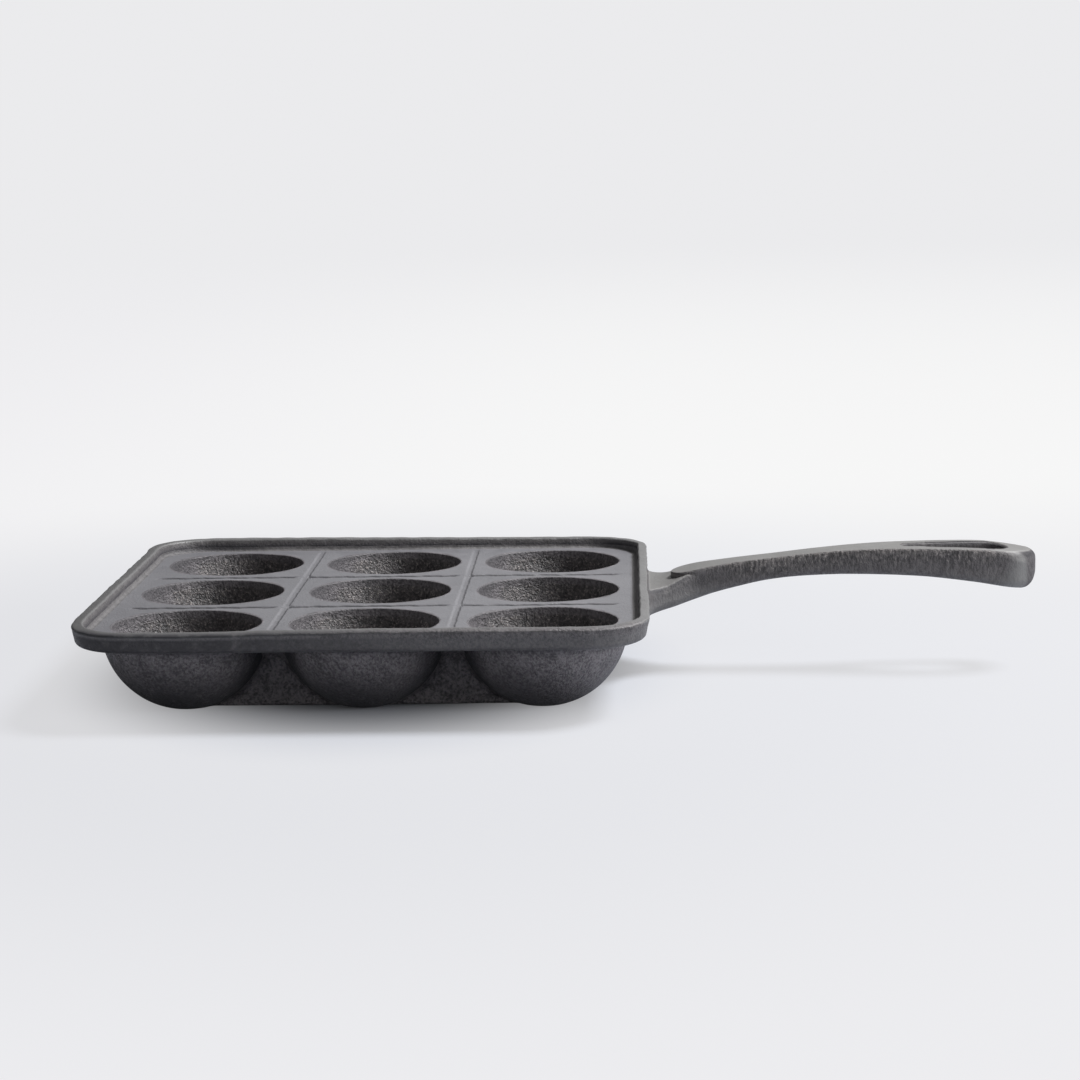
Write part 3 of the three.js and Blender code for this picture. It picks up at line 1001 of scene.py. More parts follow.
@dataclass
class WebLattice:
    """Webs between neighbouring cups under the deck, repeated over the lattice of cups."""

    casting: Casting
    skin: CastSkin
    material: bpy.types.Material
    cup_outside: float = 23 * MM
    half_thickness: float = 2.5 * MM
    lift: float = 0.2 * MM
    edge_round: float = 0.7 * MM
    shade_depth: float = 4 * MM
    cup_fillet: float = 3.2 * MM
    deck_fillet: float = 1.6 * MM
    sink: float = 0.6 * MM
    fillet_steps: int = 12
    line_points: int = 16
    round_levels: int = 7
    levels: int = 40
    shaded: tuple = (1.0, 0.2)
    crease: float = math.radians(60)

    def thickness(self, height: float) -> float:
        """Half the web's thickness at a height, less its lower round, plus its upper fillet.

        Args:
            height: Height above the table.

        Returns:
            Half the thickness.
        """
        lower = float(round_fall(self.edge_round, height - self.lift))
        upper = float(round_fall(self.deck_fillet, self.casting.deck_underside - height))
        return self.half_thickness - lower + upper

    def side(self, height: float) -> np.ndarray:
        """Half of the outline at a height, from the left cup to the right one, at +Y.

        Args:
            height: Height above the table.

        Returns:
            Points in plan, sunk into both cups at their ends.
        """
        half = self.casting.cell_half
        drop = self.casting.deck_top - height
        cup = math.sqrt(max(self.cup_outside**2 - drop**2, 0.0))
        line = self.thickness(height)
        radius = self.cup_fillet
        reach_squared = (cup + radius) ** 2 - (line + radius) ** 2
        centre_x = half - math.sqrt(max(reach_squared, 0.0))
        centre_y = line + radius
        if centre_x < 0.0:
            centre_x = 0.0
            centre_y = math.sqrt(max((cup + radius) ** 2 - half**2, 0.0))
        towards = np.array([centre_x - half, centre_y])
        towards /= np.linalg.norm(towards)
        touch = np.array([half, 0.0]) + cup * towards
        start = math.atan2(touch[1] - centre_y, touch[0] - centre_x)
        curve = arc(centre_x, centre_y, radius, start, -math.pi / 2, self.fillet_steps)
        sunk = touch - towards * self.sink
        right = np.concatenate([sunk[None, :], curve])
        straight = np.linspace(centre_x, 0.0, self.line_points // 2 + 1)[1:]
        middle = np.stack([straight, np.full(len(straight), centre_y - radius)], axis=1)
        right = np.concatenate([right, middle])
        left = right[-2::-1] * (-1.0, 1.0)
        return np.concatenate([right, left])[::-1]

    def template(self) -> bpy.types.Object:
        """Builds one web along X, centred between its two cups.

        Returns:
            The web, linked to the scene.
        """
        low = self.lift
        high = self.casting.deck_underside + self.sink / 2
        turns = np.linspace(0, math.pi / 2, self.round_levels)
        rounded = low + self.edge_round * (1 - np.cos(turns))
        rest = np.linspace(low + self.edge_round, high, self.levels - self.round_levels + 1)[1:]
        rings = []
        for height in np.concatenate([rounded, rest]):
            side = self.side(float(height))
            other = side[::-1] * (1.0, -1.0)
            rings.append(at_height(np.concatenate([side, other]), height))
        rings = np.array(rings)
        skin = Skin("web_template")
        size = rings.shape[1]
        depth = (self.casting.deck_underside - rings[:, :, 2]) / self.shade_depth
        skin.add_rings(rings, Finish.WEB.towards(Finish.SHADE, smoothstep(*self.shaded, depth)))
        last = skin.count - size
        for i in range(size // 2 - 1):
            mirror = size - 1 - i
            skin.faces.append((mirror, mirror - 1, i + 1, i))
            skin.faces.append((last + i, last + i + 1, last + mirror - 1, last + mirror))
        return skin.build(self.material, self.crease)

    def lattice_tree(self) -> bpy.types.NodeTree:
        """Geometry nodes that set the web between all neighbouring cups, both ways.

        Returns:
            The tree, with inputs for the pitch, the cups and the finish.
        """
        tree = bpy.data.node_groups.new("web_lattice", "GeometryNodeTree")
        face = tree.interface
        face.new_socket("Geometry", in_out="INPUT", socket_type="NodeSocketGeometry")
        face.new_socket("Pitch", in_out="INPUT", socket_type="NodeSocketFloat")
        face.new_socket("Cups a side", in_out="INPUT", socket_type="NodeSocketInt")
        face.new_socket("Finish", in_out="INPUT", socket_type="NodeSocketMaterial")
        face.new_socket("Geometry", in_out="OUTPUT", socket_type="NodeSocketGeometry")
        nodes = Nodes(tree)
        web = nodes.node("NodeGroupInput", {}, ())
        pitch, cups, finish = (web.beside(name) for name in ("Pitch", "Cups a side", "Finish"))
        gaps = cups - 1.0
        size = {"Size X": (cups - 2.0) * pitch, "Size Y": gaps * pitch}
        count = {"Vertices X": gaps, "Vertices Y": cups}
        both = nodes.node("GeometryNodeJoinGeometry", {}, ())
        for quarter_turn in (0.0, math.pi / 2):
            grid = nodes.node("GeometryNodeMeshGrid", {}, {**size, **count})
            placed = nodes.node(
                "GeometryNodeInstanceOnPoints", {}, {"Points": grid, "Instance": web}
            )
            turn = {"Geometry": placed, "Rotation": (0.0, 0.0, quarter_turn)}
            turned = nodes.node("GeometryNodeTransform", {}, turn)
            nodes.feed(both.socket.node.inputs["Geometry"], turned)
        real = nodes.node("GeometryNodeRealizeInstances", {}, {"Geometry": both})
        dress = {"Geometry": real, "Material": finish}
        dressed = nodes.node("GeometryNodeSetMaterial", {}, dress)
        nodes.node("NodeGroupOutput", {}, {"Geometry": dressed})
        return tree

    def build(self) -> bpy.types.Object:
        """Builds the lattice of webs as one piece.

        Returns:
            The finished piece.
        """
        template = self.template()
        values = {
            "Pitch": self.casting.pitch,
            "Cups a side": len(ROWS),
            "Finish": self.material,
        }
        piece = bake_tree(template, self.lattice_tree(), values, "webs")
        points = np.zeros(len(piece.data.vertices) * 3)
        piece.data.vertices.foreach_get("co", points)
        moved = self.skin.shift(points.reshape(-1, 3))
        piece.data.vertices.foreach_set("co", moved.reshape(-1))
        piece.data.update()
        piece.data.set_sharp_from_angle(angle=self.crease)
        nodes = [f"web_{row}_row_{side}" for row in ROWS for side in ("left", "right")]
        nodes += [f"web_{col}_column_{side}" for col in COLUMNS for side in ("front", "back")]
        return mount_piece(piece, nodes)


def bake_tree(
    template: bpy.types.Object, tree: bpy.types.NodeTree, values: dict, name: str
) -> bpy.types.Object:
    """Runs a geometry tree on a template and keeps the result as a plain mesh.

    Args:
        template: The object that the tree starts from, removed afterwards.
        tree: The geometry nodes.
        values: The tree's inputs by name.
        name: Name of the new piece.

    Returns:
        The new piece, linked to the scene.
    """
    modifier = template.modifiers.new("lattice", "NODES")
    modifier.node_group = tree
    for item in tree.interface.items_tree:
        if item.in_out == "INPUT" and item.name in values:
            modifier[item.identifier] = values[item.name]
    graph = bpy.context.evaluated_depsgraph_get()
    mesh = bpy.data.meshes.new_from_object(template.evaluated_get(graph), depsgraph=graph)
    template.modifiers.remove(modifier)
    bpy.data.objects.remove(template)
    mesh.name = name
    piece = bpy.data.objects.new(name, mesh)
    bpy.context.scene.collection.objects.link(piece)
    return piece


def follow_shares(table: tuple[tuple[float, float], ...], share: np.ndarray) -> np.ndarray:
    """Values of a smooth curve through a table of shares.

    Args:
        table: Pairs of a place and a value, in order.
        share: The places that are asked for.

    Returns:
        The curve's values there.
    """
    places = np.array([place for place, _ in table])
    values = np.array([value for _, value in table])
    share = np.asarray(share, dtype=float)
    last = len(places) - 1
    k = np.clip(np.searchsorted(places, share, side="right") - 1, 0, last - 1)
    before = np.maximum(np.arange(last + 1) - 1, 0)
    after = np.minimum(np.arange(last + 1) + 1, last)
    slopes = (values[after] - values[before]) / (places[after] - places[before])
    width = places[k + 1] - places[k]
    t = (share - places[k]) / width
    ends = values[k] * (1 + 2 * t) * (1 - t) ** 2 + values[k + 1] * t**2 * (3 - 2 * t)
    bends = slopes[k] * t * (1 - t) ** 2 + slopes[k + 1] * t**2 * (t - 1)
    return ends + width * bends


@dataclass
class Handle:
    """The handle: a flared root on the rim, a raised grip with a round nose, and a hanging eye."""

    casting: Casting
    skin: CastSkin
    material: bpy.types.Material
    crown_height: float = 11.8 * MM
    belly_height: float = 4.3 * MM
    half_width: float = 9.3 * MM
    crown_shares: tuple = (
        (0, 0.34), (0.06, 0.42), (0.09, 0.47), (0.13, 0.55), (0.17, 0.61), (0.24, 0.695),
        (0.33, 0.785), (0.44, 0.895), (0.55, 0.97), (0.65, 1), (0.77, 1), (0.87, 0.975),
        (0.94, 0.918), (1, 0.88),
    )
    belly_shares: tuple = (
        (0, -1.14), (0.04, -0.97), (0.07, -0.84), (0.12, -0.55), (0.17, -0.17), (0.24, 0.245),
        (0.31, 0.6), (0.4, 0.84), (0.51, 0.96), (0.62, 0.945), (0.73, 0.82), (0.84, 0.5),
        (0.93, 0.14), (1, -0.04),
    )
    half_width_shares: tuple = (
        (0, 0.86), (0.06, 0.8), (0.12, 0.7), (0.18, 0.6), (0.24, 0.54), (0.32, 0.515),
        (0.42, 0.52), (0.5, 0.575), (0.57, 0.67), (0.64, 0.78), (0.72, 0.88), (0.8, 0.95),
        (0.9, 1), (1, 1),
    )
    upper_edge: float = 1.0 * MM
    lower_edge: float = 2.2 * MM
    tip_edge: float = 3.6 * MM
    tip_edge_reach: float = 16 * MM
    tip_upper_round: float = 2.4 * MM
    tip_lower_round: float = 5 * MM
    nose_start: float = 6.6 * MM
    nose_length: float = 6 * MM
    root_half_width: float = 14.6 * MM
    root_fillet: float = 6 * MM
    root_taper: float = 15 * MM
    root_top: float = 2.3 * MM
    root_rise: float = 3.6 * MM
    root_edge: float = 2.6 * MM
    root_end: float = 20 * MM
    root_sink: float = 0.7 * MM
    rim_fillet: float = 0.55 * MM
    under_rim: float = 8.2 * MM
    into_rim: float = 1.4 * MM
    keel_end: float = 0.6 * MM
    keel_flare: float = 2.5 * MM
    keel_taper: float = 3 * MM
    keel_lift: float = 0.15 * MM
    keel_sink: float = 0.8 * MM
    keel_edges: tuple = (0.4 * MM, 1.6 * MM)
    slot_length: float = 28.5 * MM
    slot_to_tip: float = 8.6 * MM
    slot_small: float = 2.0 * MM
    slot_large: float = 5.3 * MM
    slot_edge: float = 1.2 * MM
    slot_flare: float = math.radians(72)
    slot_over: float = 1.5 * MM
    slot_levels: int = 7
    slot_steps: tuple = (40, 14)
    coarse_band: float = 8 * MM
    pit_band_darkening: float = 0.25
    edge_shade: float = 0.4
    low_smooth_and_lit: float = 0.25
    plain_root: float = 0.4
    smooth_lit_tip: float = 0.8
    smooth_lit_tip_band: tuple = (14 * MM, 4 * MM)
    root_shade: float = 0.14
    root_shares: tuple = (0.26, 0.12)
    pit_shares: tuple = ((0.05, 0.3), (0.85, 0.4))
    low_shares: tuple = (0.5, 1.1)
    slot_width_shares: tuple = (0.85, 0.65)
    slot_start_shares: tuple = (0.6, 0.7)
    edge_up_shares: tuple = ((0.2, 0.5), (0.95, 0.8))
    top_up_shares: tuple = (0.8, 0.97)
    edge_width_share: float = 0.8
    edge_depth_share: float = 0.45
    spacing: float = 0.6 * MM
    end_turn: float = math.pi / 2 * 0.985
    end_sections: int = 26
    flare_sections: int = 16
    keel_sections: int = 18
    edge_steps: int = 7
    flat_steps: int = 8
    part_crease: float = math.radians(60)
    crease: float = math.radians(42)

    @property
    def length(self) -> float:
        """Length from the rim's outer face to the tip."""
        return self.casting.tip - self.casting.plate_half

    def crown(self, along: np.ndarray) -> np.ndarray:
        """Height of the top line above the table."""
        share = along / self.length
        return self.casting.deck_top + self.crown_height * follow_shares(self.crown_shares, share)

    def belly(self, along: np.ndarray) -> np.ndarray:
        """Height of the underside above the table."""
        share = along / self.length
        return self.casting.deck_top + self.belly_height * follow_shares(self.belly_shares, share)

    def width(self, along: np.ndarray) -> np.ndarray:
        """Half the grip's width."""
        return self.half_width * follow_shares(self.half_width_shares, along / self.length)

    def section(
        self, along: float, half: float, low: float, high: float, upper: float, lower: float
    ) -> np.ndarray:
        """A section across the handle: a flat top, upright sides and rounded edges.

        Args:
            along: Distance from the rim's outer face.
            half: Half the width.
            low, high: Heights of the underside and the top.
            upper, lower: Radii of the upper and the lower edges.

        Returns:
            The ring of points.
        """
        widest = min(self.edge_width_share * half, self.edge_depth_share * (high - low))
        upper, lower = min(upper, widest), min(lower, widest)
        top_line = np.linspace(half - upper, -half + upper, self.flat_steps + 1)[1:-1]
        base_line = np.linspace(-half + lower, half - lower, self.flat_steps + 1)[1:-1]
        side_line = np.linspace(high - upper, low + lower, self.flat_steps + 1)[1:-1]
        plan = np.concatenate([
            arc(half - upper, high - upper, upper, 0, math.pi / 2, self.edge_steps),
            np.stack([top_line, np.full(len(top_line), high)], axis=1),
            arc(upper - half, high - upper, upper, math.pi / 2, math.pi, self.edge_steps),
            np.stack([np.full(len(side_line), -half), side_line], axis=1),
            arc(lower - half, low + lower, lower, math.pi, math.pi * 3 / 2, self.edge_steps),
            np.stack([base_line, np.full(len(base_line), low)], axis=1),
            arc(half - lower, low + lower, lower, -math.pi / 2, 0, self.edge_steps),
            np.stack([np.full(len(side_line), half), side_line[::-1]], axis=1),
        ])
        x = np.full((len(plan), 1), self.casting.plate_half + along)
        return np.concatenate([x, plan], axis=1)

    def shell(self, name: str, sections: list[np.ndarray]) -> bpy.types.Object:
        """Closes a run of sections into a solid with the casting's uneven skin.

        Args:
            name: The solid's name.
            sections: Rings of equal count, in order.

        Returns:
            The solid.
        """
        rings = self.skin.shift(np.array(sections))
        skin = Skin(name)
        skin.add_rings(rings, Finish.SIDE)
        skin.close_ends(rings, Finish.SIDE)
        return skin.build(self.material, self.part_crease)

    def grip(self) -> bpy.types.Object:
        """The grip from its nose to the tip, round at both ends in plan.

        Returns:
            The solid.
        """
        tip_radius = self.half_width
        turns = np.linspace(0, self.end_turn, self.end_sections)[1:]
        nose_end = self.nose_start + self.nose_length
        nose = self.nose_start + self.nose_length * (1 - np.sin(turns))
        tip = self.length - tip_radius * (1 - np.sin(turns))
        body = np.arange(nose_end, self.length - tip_radius, self.spacing)
        sections = []
        for along in np.concatenate([nose[::-1], body, tip]):
            from_nose = max((nose_end - along) / self.nose_length, 0.0)
            from_tip = max((along - self.length + tip_radius) / tip_radius, 0.0)
            ends = math.sqrt(1 - from_nose**2) * math.sqrt(1 - from_tip**2)
            from_end = self.length - along
            softer = float(smoothstep(self.tip_edge_reach, 0.0, from_end))
            sections.append(self.section(
                along,
                float(self.width(along)) * ends,
                float(self.belly(along) + round_fall(self.tip_lower_round, from_end)),
                float(self.crown(along) - round_fall(self.tip_upper_round, from_end)),
                self.upper_edge + (self.tip_edge - self.upper_edge) * softer,
                self.lower_edge,
            ))
        return self.shell("grip_part", sections)

    def root(self) -> bpy.types.Object:
        """The root from inside the rim out to where the grip has swallowed it.

        Returns:
            The solid.
        """
        inside = np.array([-self.into_rim, -self.into_rim / 2])
        turns = np.linspace(0, math.pi / 2, self.flare_sections)
        flare = self.root_fillet * (1 - np.cos(turns))
        rest = np.arange(self.root_fillet, self.root_end, self.spacing)[1:]
        sections = []
        for along in np.concatenate([inside, flare, rest]):
            out = max(along, 0.0)
            taper = float(smoothstep(0.0, self.root_taper, out))
            narrow = float(self.width(out))
            half = self.root_half_width + (narrow - self.root_half_width) * taper
            half += float(round_fall(self.root_fillet, out))
            sunk = self.root_sink * float(smoothstep(self.root_taper, self.root_end, out))
            top = self.root_top + self.root_rise * taper**1.5
            top += float(round_fall(self.rim_fillet, out))
            sections.append(self.section(
                along,
                half - sunk,
                float(self.belly(out)) + sunk,
                self.casting.deck_top + top,
                self.root_edge * (1 - taper / 3),
                self.lower_edge,
            ))
        return self.shell("root_part", sections)

    def keel(self) -> bpy.types.Object:
        """The root's lower part, which runs on under the rim to the nearest cup.

        Returns:
            The solid.
        """
        sections = []
        low = float(self.belly(0.0)) + self.keel_lift
        high = self.casting.deck_underside + self.keel_sink
        for along in np.linspace(-self.under_rim, -self.keel_end, self.keel_sections):
            inward = max(-along, 0.0) / self.under_rim
            half = self.root_half_width + self.keel_flare - self.keel_taper * inward
            sections.append(self.section(along, half, low, high, *self.keel_edges))
        return self.shell("keel_part", sections)

    def teardrop(self, growth: float) -> np.ndarray:
        """Outline of the slot in plan, grown by a distance, from the tip's side round.

        Args:
            growth: How far it is grown.

        Returns:
            Distances from the rim's outer face and from the handle's middle.
        """
        end = self.length - self.slot_to_tip
        large = end - self.slot_large
        small = end - self.slot_length + self.slot_small
        lean = math.asin((self.slot_large - self.slot_small) / (large - small))
        turn = math.pi / 2 + lean
        back = 2 * math.pi - turn
        wide = arc(large, 0, self.slot_large + growth, -turn, turn, self.slot_steps[0])
        narrow = arc(small, 0, self.slot_small + growth, turn, back, self.slot_steps[1])
        return np.concatenate([wide, narrow])

    def slot_cutter(self) -> bpy.types.Object:
        """The slot's cutter, flared at both ends so that it leaves rounded edges.

        Returns:
            The cutter.
        """
        base = self.teardrop(0.0)
        edge = self.slot_edge
        turns = np.linspace(0, self.slot_flare, self.slot_levels)
        flare = edge * (1 - np.cos(turns))
        climb = edge * np.sin(turns) - edge
        rings = []
        for level in (-1, 1):
            surface = self.belly(base[:, 0]) if level < 0 else self.crown(base[:, 0])
            steps = [*zip(flare, climb), (flare[-1] + edge / 2, climb[-1] + self.slot_over)]
            if level < 0:
                steps = steps[::-1]
            for growth, offset in steps:
                plan = self.teardrop(growth)
                rings.append(np.stack([
                    self.casting.plate_half + plan[:, 0],
                    plan[:, 1],
                    surface + level * offset,
                ], axis=1))
        rings = np.array(rings)
        skin = Skin("slot_cutter")
        skin.add_rings(rings, Finish.SIDE)
        skin.close_ends(rings, Finish.SIDE)
        return skin.build(self.material, self.part_crease)

    def build(self) -> bpy.types.Object:
        """Builds the handle as one closed piece.

        Returns:
            The finished piece.
        """
        grip = self.grip()
        combine(grip, self.slot_cutter(), Change.CUT)
        combine(grip, self.root(), Change.JOIN)
        combine(grip, self.keel(), Change.JOIN)
        grip.name = "handle"
        grip.data.name = "handle"
        grip.data.shade_smooth()
        grip.data.set_sharp_from_angle(angle=self.crease)
        self.finish_skin(grip.data)
        return mount_piece(grip, ["handle_root", "handle_grip", "hanging_eye"])

    def finish_skin(self, mesh: bpy.types.Mesh) -> None:
        """Smooth top, coarse band under it, side finish elsewhere, with painted shade and light.

        Args:
            mesh: The handle's mesh.
        """
        up = np.array([point.normal.z for point in mesh.vertices])
        places = np.array([point.co for point in mesh.vertices])
        along = np.clip(places[:, 0] - self.casting.plate_half, 0.0, self.length)
        below_top = self.crown(along) - places[:, 2]
        band = smoothstep(self.coarse_band, 0.0, below_top)
        band *= smoothstep(self.nose_start, self.nose_start + self.nose_length, along)
        pairs = Finish.SIDE.towards(Finish.COARSE, band)
        depth = below_top / self.coarse_band
        # Darkens a band below the top edge.
        rise, fall = self.pit_shares
        pairs[:, 1] += self.pit_band_darkening * smoothstep(*rise, depth) * smoothstep(*fall, depth)
        # A smoother lower side, whose lighter colour is partly a painted reflection of the table.
        pairs[:, 0] -= self.low_smooth_and_lit * smoothstep(*self.low_shares, depth)
        root = share_step(self.root_shares, self.length, along)
        pairs[:, 0] *= 1.0 - self.plain_root * root
        # Painted shade on the root's sides.
        pairs[:, 1] += self.root_shade * root
        # A smoother, lighter tip with less painted shade, which partly paints the tip's highlight.
        tip = smoothstep(*self.smooth_lit_tip_band, self.length - along)
        pairs *= 1.0 - self.smooth_lit_tip * tip[:, None]
        # Painted shade inside the slot.
        slot = smoothstep(*self.slot_width_shares, np.abs(places[:, 1]) / self.width(along))
        slot *= share_step(self.slot_start_shares, self.length, along)
        pairs = Finish.SHADED_SLOT.over(pairs, slot)
        # Painted shade on the rounded edges between top and sides.
        rise, fall = self.edge_up_shares
        pairs[:, 1] += self.edge_shade * smoothstep(*rise, up) * smoothstep(*fall, up)
        store_finish(mesh, Finish.SMOOTH.over(pairs, smoothstep(*self.top_up_shares, up)))


def combine(target: bpy.types.Object, tool: bpy.types.Object, change: Change) -> None:
    """Joins a closed tool to a closed target, or cuts it out, and removes the tool.

    Args:
        target: The object that changes.
        tool: The object that is used up.
        change: What the tool does to it.
    """
    modifier = target.modifiers.new("combine", "BOOLEAN")
    modifier.operation = change.value
    modifier.solver = "EXACT"
    modifier.object = tool
    graph = bpy.context.evaluated_depsgraph_get()
    mesh = bpy.data.meshes.new_from_object(target.evaluated_get(graph), depsgraph=graph)
    target.modifiers.remove(modifier)
    old = target.data
    target.data = mesh
    bpy.data.meshes.remove(old)
    bpy.data.objects.remove(tool)


class Socket:
    """A node's output that takes part in Python arithmetic."""

    def __init__(self, nodes: "Nodes", socket: bpy.types.NodeSocket) -> None:
        """Wraps a node's output."""
        self.nodes = nodes
        self.socket = socket

    def beside(self, name: str) -> "Socket":
        """Another output of the same node."""
        return Socket(self.nodes, self.socket.node.outputs[name])

    def _math(self, operation: str, *values: "Socket | float") -> "Socket":
        """Adds a Math node."""
        return self.nodes.node("ShaderNodeMath", {"operation": operation}, values)

    def __add__(self, other: "Socket | float") -> "Socket":
        """Sum."""
        return self._math("ADD", self, other)

    __radd__ = __add__

    def __mul__(self, other: "Socket | float") -> "Socket":
        """Product."""
        return self._math("MULTIPLY", self, other)

    __rmul__ = __mul__

    def __sub__(self, other: "Socket | float") -> "Socket":
        """Difference."""
        return self._math("SUBTRACT", self, other)

    def __rsub__(self, other: float) -> "Socket":
        """Difference from a number."""
        return self._math("SUBTRACT", other, self)

    def __pow__(self, other: float) -> "Socket":
        """Power."""
        return self._math("POWER", self, other)

    def clamp(self) -> "Socket":
        """The value held between 0 and 1."""
        return self.nodes.node("ShaderNodeClamp", {}, (self, 0.0, 1.0))

    def ramp(self, low: float, high: float) -> "Socket":
        """A smooth step from 0 at low to 1 at high."""
        settings = {"interpolation_type": "SMOOTHSTEP"}
        return self.nodes.node("ShaderNodeMapRange", settings, (self, low, high, 0.0, 1.0))


class Nodes:
    """Adds nodes to a tree of any kind."""

    def __init__(self, tree: bpy.types.NodeTree) -> None:
        """Takes the tree."""
        self.tree = tree

    def node(
        self, kind: str, settings: dict, values: tuple | dict, output: int | str = 0
    ) -> Socket | None:
        """Adds a node.

        Args:
            kind: The node's type.
            settings: Its properties.
            values: Sockets or values for its inputs, in order, or by name or index.
            output: Which output to return.

        Returns:
            The chosen output, or None for a node that has none.
        """
        made = self.tree.nodes.new(kind)
        for key, value in settings.items():
            setattr(made, key, value)
        pairs = values.items() if isinstance(values, dict) else enumerate(values)
        for key, value in pairs:
            self.feed(made.inputs[key], value)
        return Socket(self, made.outputs[output]) if made.outputs else None

    def feed(self, slot: bpy.types.NodeSocket, value: object) -> None:
        """Links a socket to an input, or sets its value.

        Args:
            slot: The input.
            value: A socket, or the input's value.
        """
        if isinstance(value, Socket):
            self.tree.links.new(value.socket, slot)
        else:
            slot.default_value = value


class Shader(Nodes):
    """Builds a material's nodes."""

    def __init__(self, name: str) -> None:
        """Starts a material with a Principled shader.

        Args:
            name: The material's name.
        """
        self.material = bpy.data.materials.new(name)
        self.material.use_nodes = True
        super().__init__(self.material.node_tree)
        self.principled = self.tree.nodes["Principled BSDF"]

    def place(self) -> Socket:
        """Object coordinates."""
        return self.node("ShaderNodeTexCoord", {}, (), "Object")

    def attribute(self, name: str) -> Socket:
        """A value that the mesh stores per point."""
        return self.node("ShaderNodeAttribute", {"attribute_name": name}, (), "Fac")

    def noise(self, place: Socket, size: float, detail: float, roughness: float = 0.55) -> Socket:
        """Noise whose features are about this size, each octave weaker by the roughness."""
        values = {"Vector": place, "Scale": 1 / size, "Detail": detail, "Roughness": roughness}
        return self.node("ShaderNodeTexNoise", {}, values)

    def blend(self, share: Socket, first: Socket | tuple, second: Socket | tuple) -> Socket:
        """Mixes two colours, whose sockets on a Mix node can only be told by their places.

        Args:
            share: How much there is of the second.
            first, second: The colours.

        Returns:
            The mixed colour.
        """
        values = {0: share, 6: first, 7: second}
        return self.node("ShaderNodeMix", {"data_type": "RGBA"}, values, 2)


@dataclass(frozen=True)
class CastIron:
    """Bare grey iron as it leaves the sand mould, with a light film of oil."""

    name: str
    smooth_dark: tuple = (0.112, 0.111, 0.123, 1.0)
    smooth_light: tuple = (0.155, 0.153, 0.167, 1.0)
    skin_dark: tuple = (0.036, 0.0325, 0.037, 1.0)
    skin_light: tuple = (0.18, 0.164, 0.176, 1.0)
    coarse_dark: tuple = (0.024, 0.0225, 0.0245, 1.0)
    coarse_light: tuple = (0.115, 0.103, 0.105, 1.0)
    # near-black colour of painted shade
    painted_shade: tuple = (0.014, 0.013, 0.018, 1.0)
    # light specks of the coarse skin, partly painted glints
    glint_speck: tuple = (0.5, 0.45, 0.43, 1.0)
    glint_speck_share: float = 0.65
    smooth_roughness: float = 0.46
    coarse_roughness: float = 0.58
    shade_roughness: float = 0.3
    refraction: float = 1.55
    smooth_coat: float = 0.3
    coat_roughness: float = 0.42
    grain_size: float = 0.74 * MM
    fine_size: float = 0.34 * MM
    lump_size: float = 3.6 * MM
    cloud_size: float = 30 * MM
    grain_height: float = 1.0 * MM
    smooth_height: float = 0.1 * MM
    streak: float = 1.0
    tone_range: tuple = (0.3, 0.7)
    skin_range: tuple = (0.36, 0.62)
    skin_grain: tuple = (0.15, 0.6)
    coarse_grain: tuple = (0.75, 1.0)
    coat_grain: tuple = (0.1, 0.5)
    glint_speck_grit: tuple = (0.53, 0.66)
    glint_speck_fine: tuple = (0.42, 0.62)
    shade_lumps: tuple = (0.1, 0.55)

    def build(self) -> bpy.types.Material:
        """Builds the material.

        Returns:
            The material.
        """
        shader = Shader(self.name)
        place = shader.place()
        stretch = (place, (1.0, 1.0, self.streak))
        drawn = shader.node("ShaderNodeVectorMath", {"operation": "MULTIPLY"}, stretch)
        grain = shader.attribute("grain").clamp()
        painted_shade = shader.attribute("painted_shade").clamp()
        cloud = shader.noise(place, self.cloud_size, 3.0)
        lumps = shader.noise(drawn, self.lump_size, 2.0)
        grit = shader.noise(drawn, self.grain_size, 2.5, 0.62)
        fine = shader.noise(place, self.fine_size, 1.5)
        tone = (cloud * 0.5 + lumps * 0.25 + grit * 0.25).ramp(*self.tone_range)
        smooth = shader.blend(tone, self.smooth_dark, self.smooth_light)
        rough_tone = (lumps * 0.35 + grit * 0.65).ramp(*self.skin_range)
        skin = shader.blend(rough_tone, self.skin_dark, self.skin_light)
        coarse = shader.blend(rough_tone, self.coarse_dark, self.coarse_light)
        base = shader.blend(grain.ramp(*self.skin_grain), smooth, skin)
        base = shader.blend(grain.ramp(*self.coarse_grain), base, coarse)
        # Light specks in the coarse skin: partly the iron's grains, partly painted glints of the
        # key lamp.
        bright = grit.ramp(*self.glint_speck_grit) * grain.ramp(*self.coarse_grain)
        bright = bright * fine.ramp(*self.glint_speck_fine)
        base = shader.blend(bright * self.glint_speck_share, base, self.glint_speck)
        # Painted shade: the colour darkens and roughens where the mesh stores it.
        base = shader.blend(painted_shade * lumps.ramp(*self.shade_lumps), base, self.painted_shade)
        rough = grain * (self.coarse_roughness - self.smooth_roughness) + self.smooth_roughness
        rough = rough + (lumps - 0.5) * 0.2 + painted_shade * self.shade_roughness
        depth = grain * (self.grain_height - self.smooth_height) + self.smooth_height
        relief = (grit - 0.5) * 0.6 + (fine - 0.5) * 0.2 + (lumps - 0.5) * 0.5
        height = {"Strength": 1.0, "Distance": 1.0, "Height": relief * depth}
        bump = shader.node("ShaderNodeBump", {}, height)
        target = shader.principled.inputs
        shader.feed(target["Base Color"], base)
        shader.feed(target["Roughness"], rough.clamp())
        coat = (1.0 - grain.ramp(*self.coat_grain)) * self.smooth_coat
        shader.feed(target["Coat Weight"], coat)
        shader.feed(target["Normal"], bump)
        target["Coat Roughness"].default_value = self.coat_roughness
        target["IOR"].default_value = self.refraction
        return shader.material


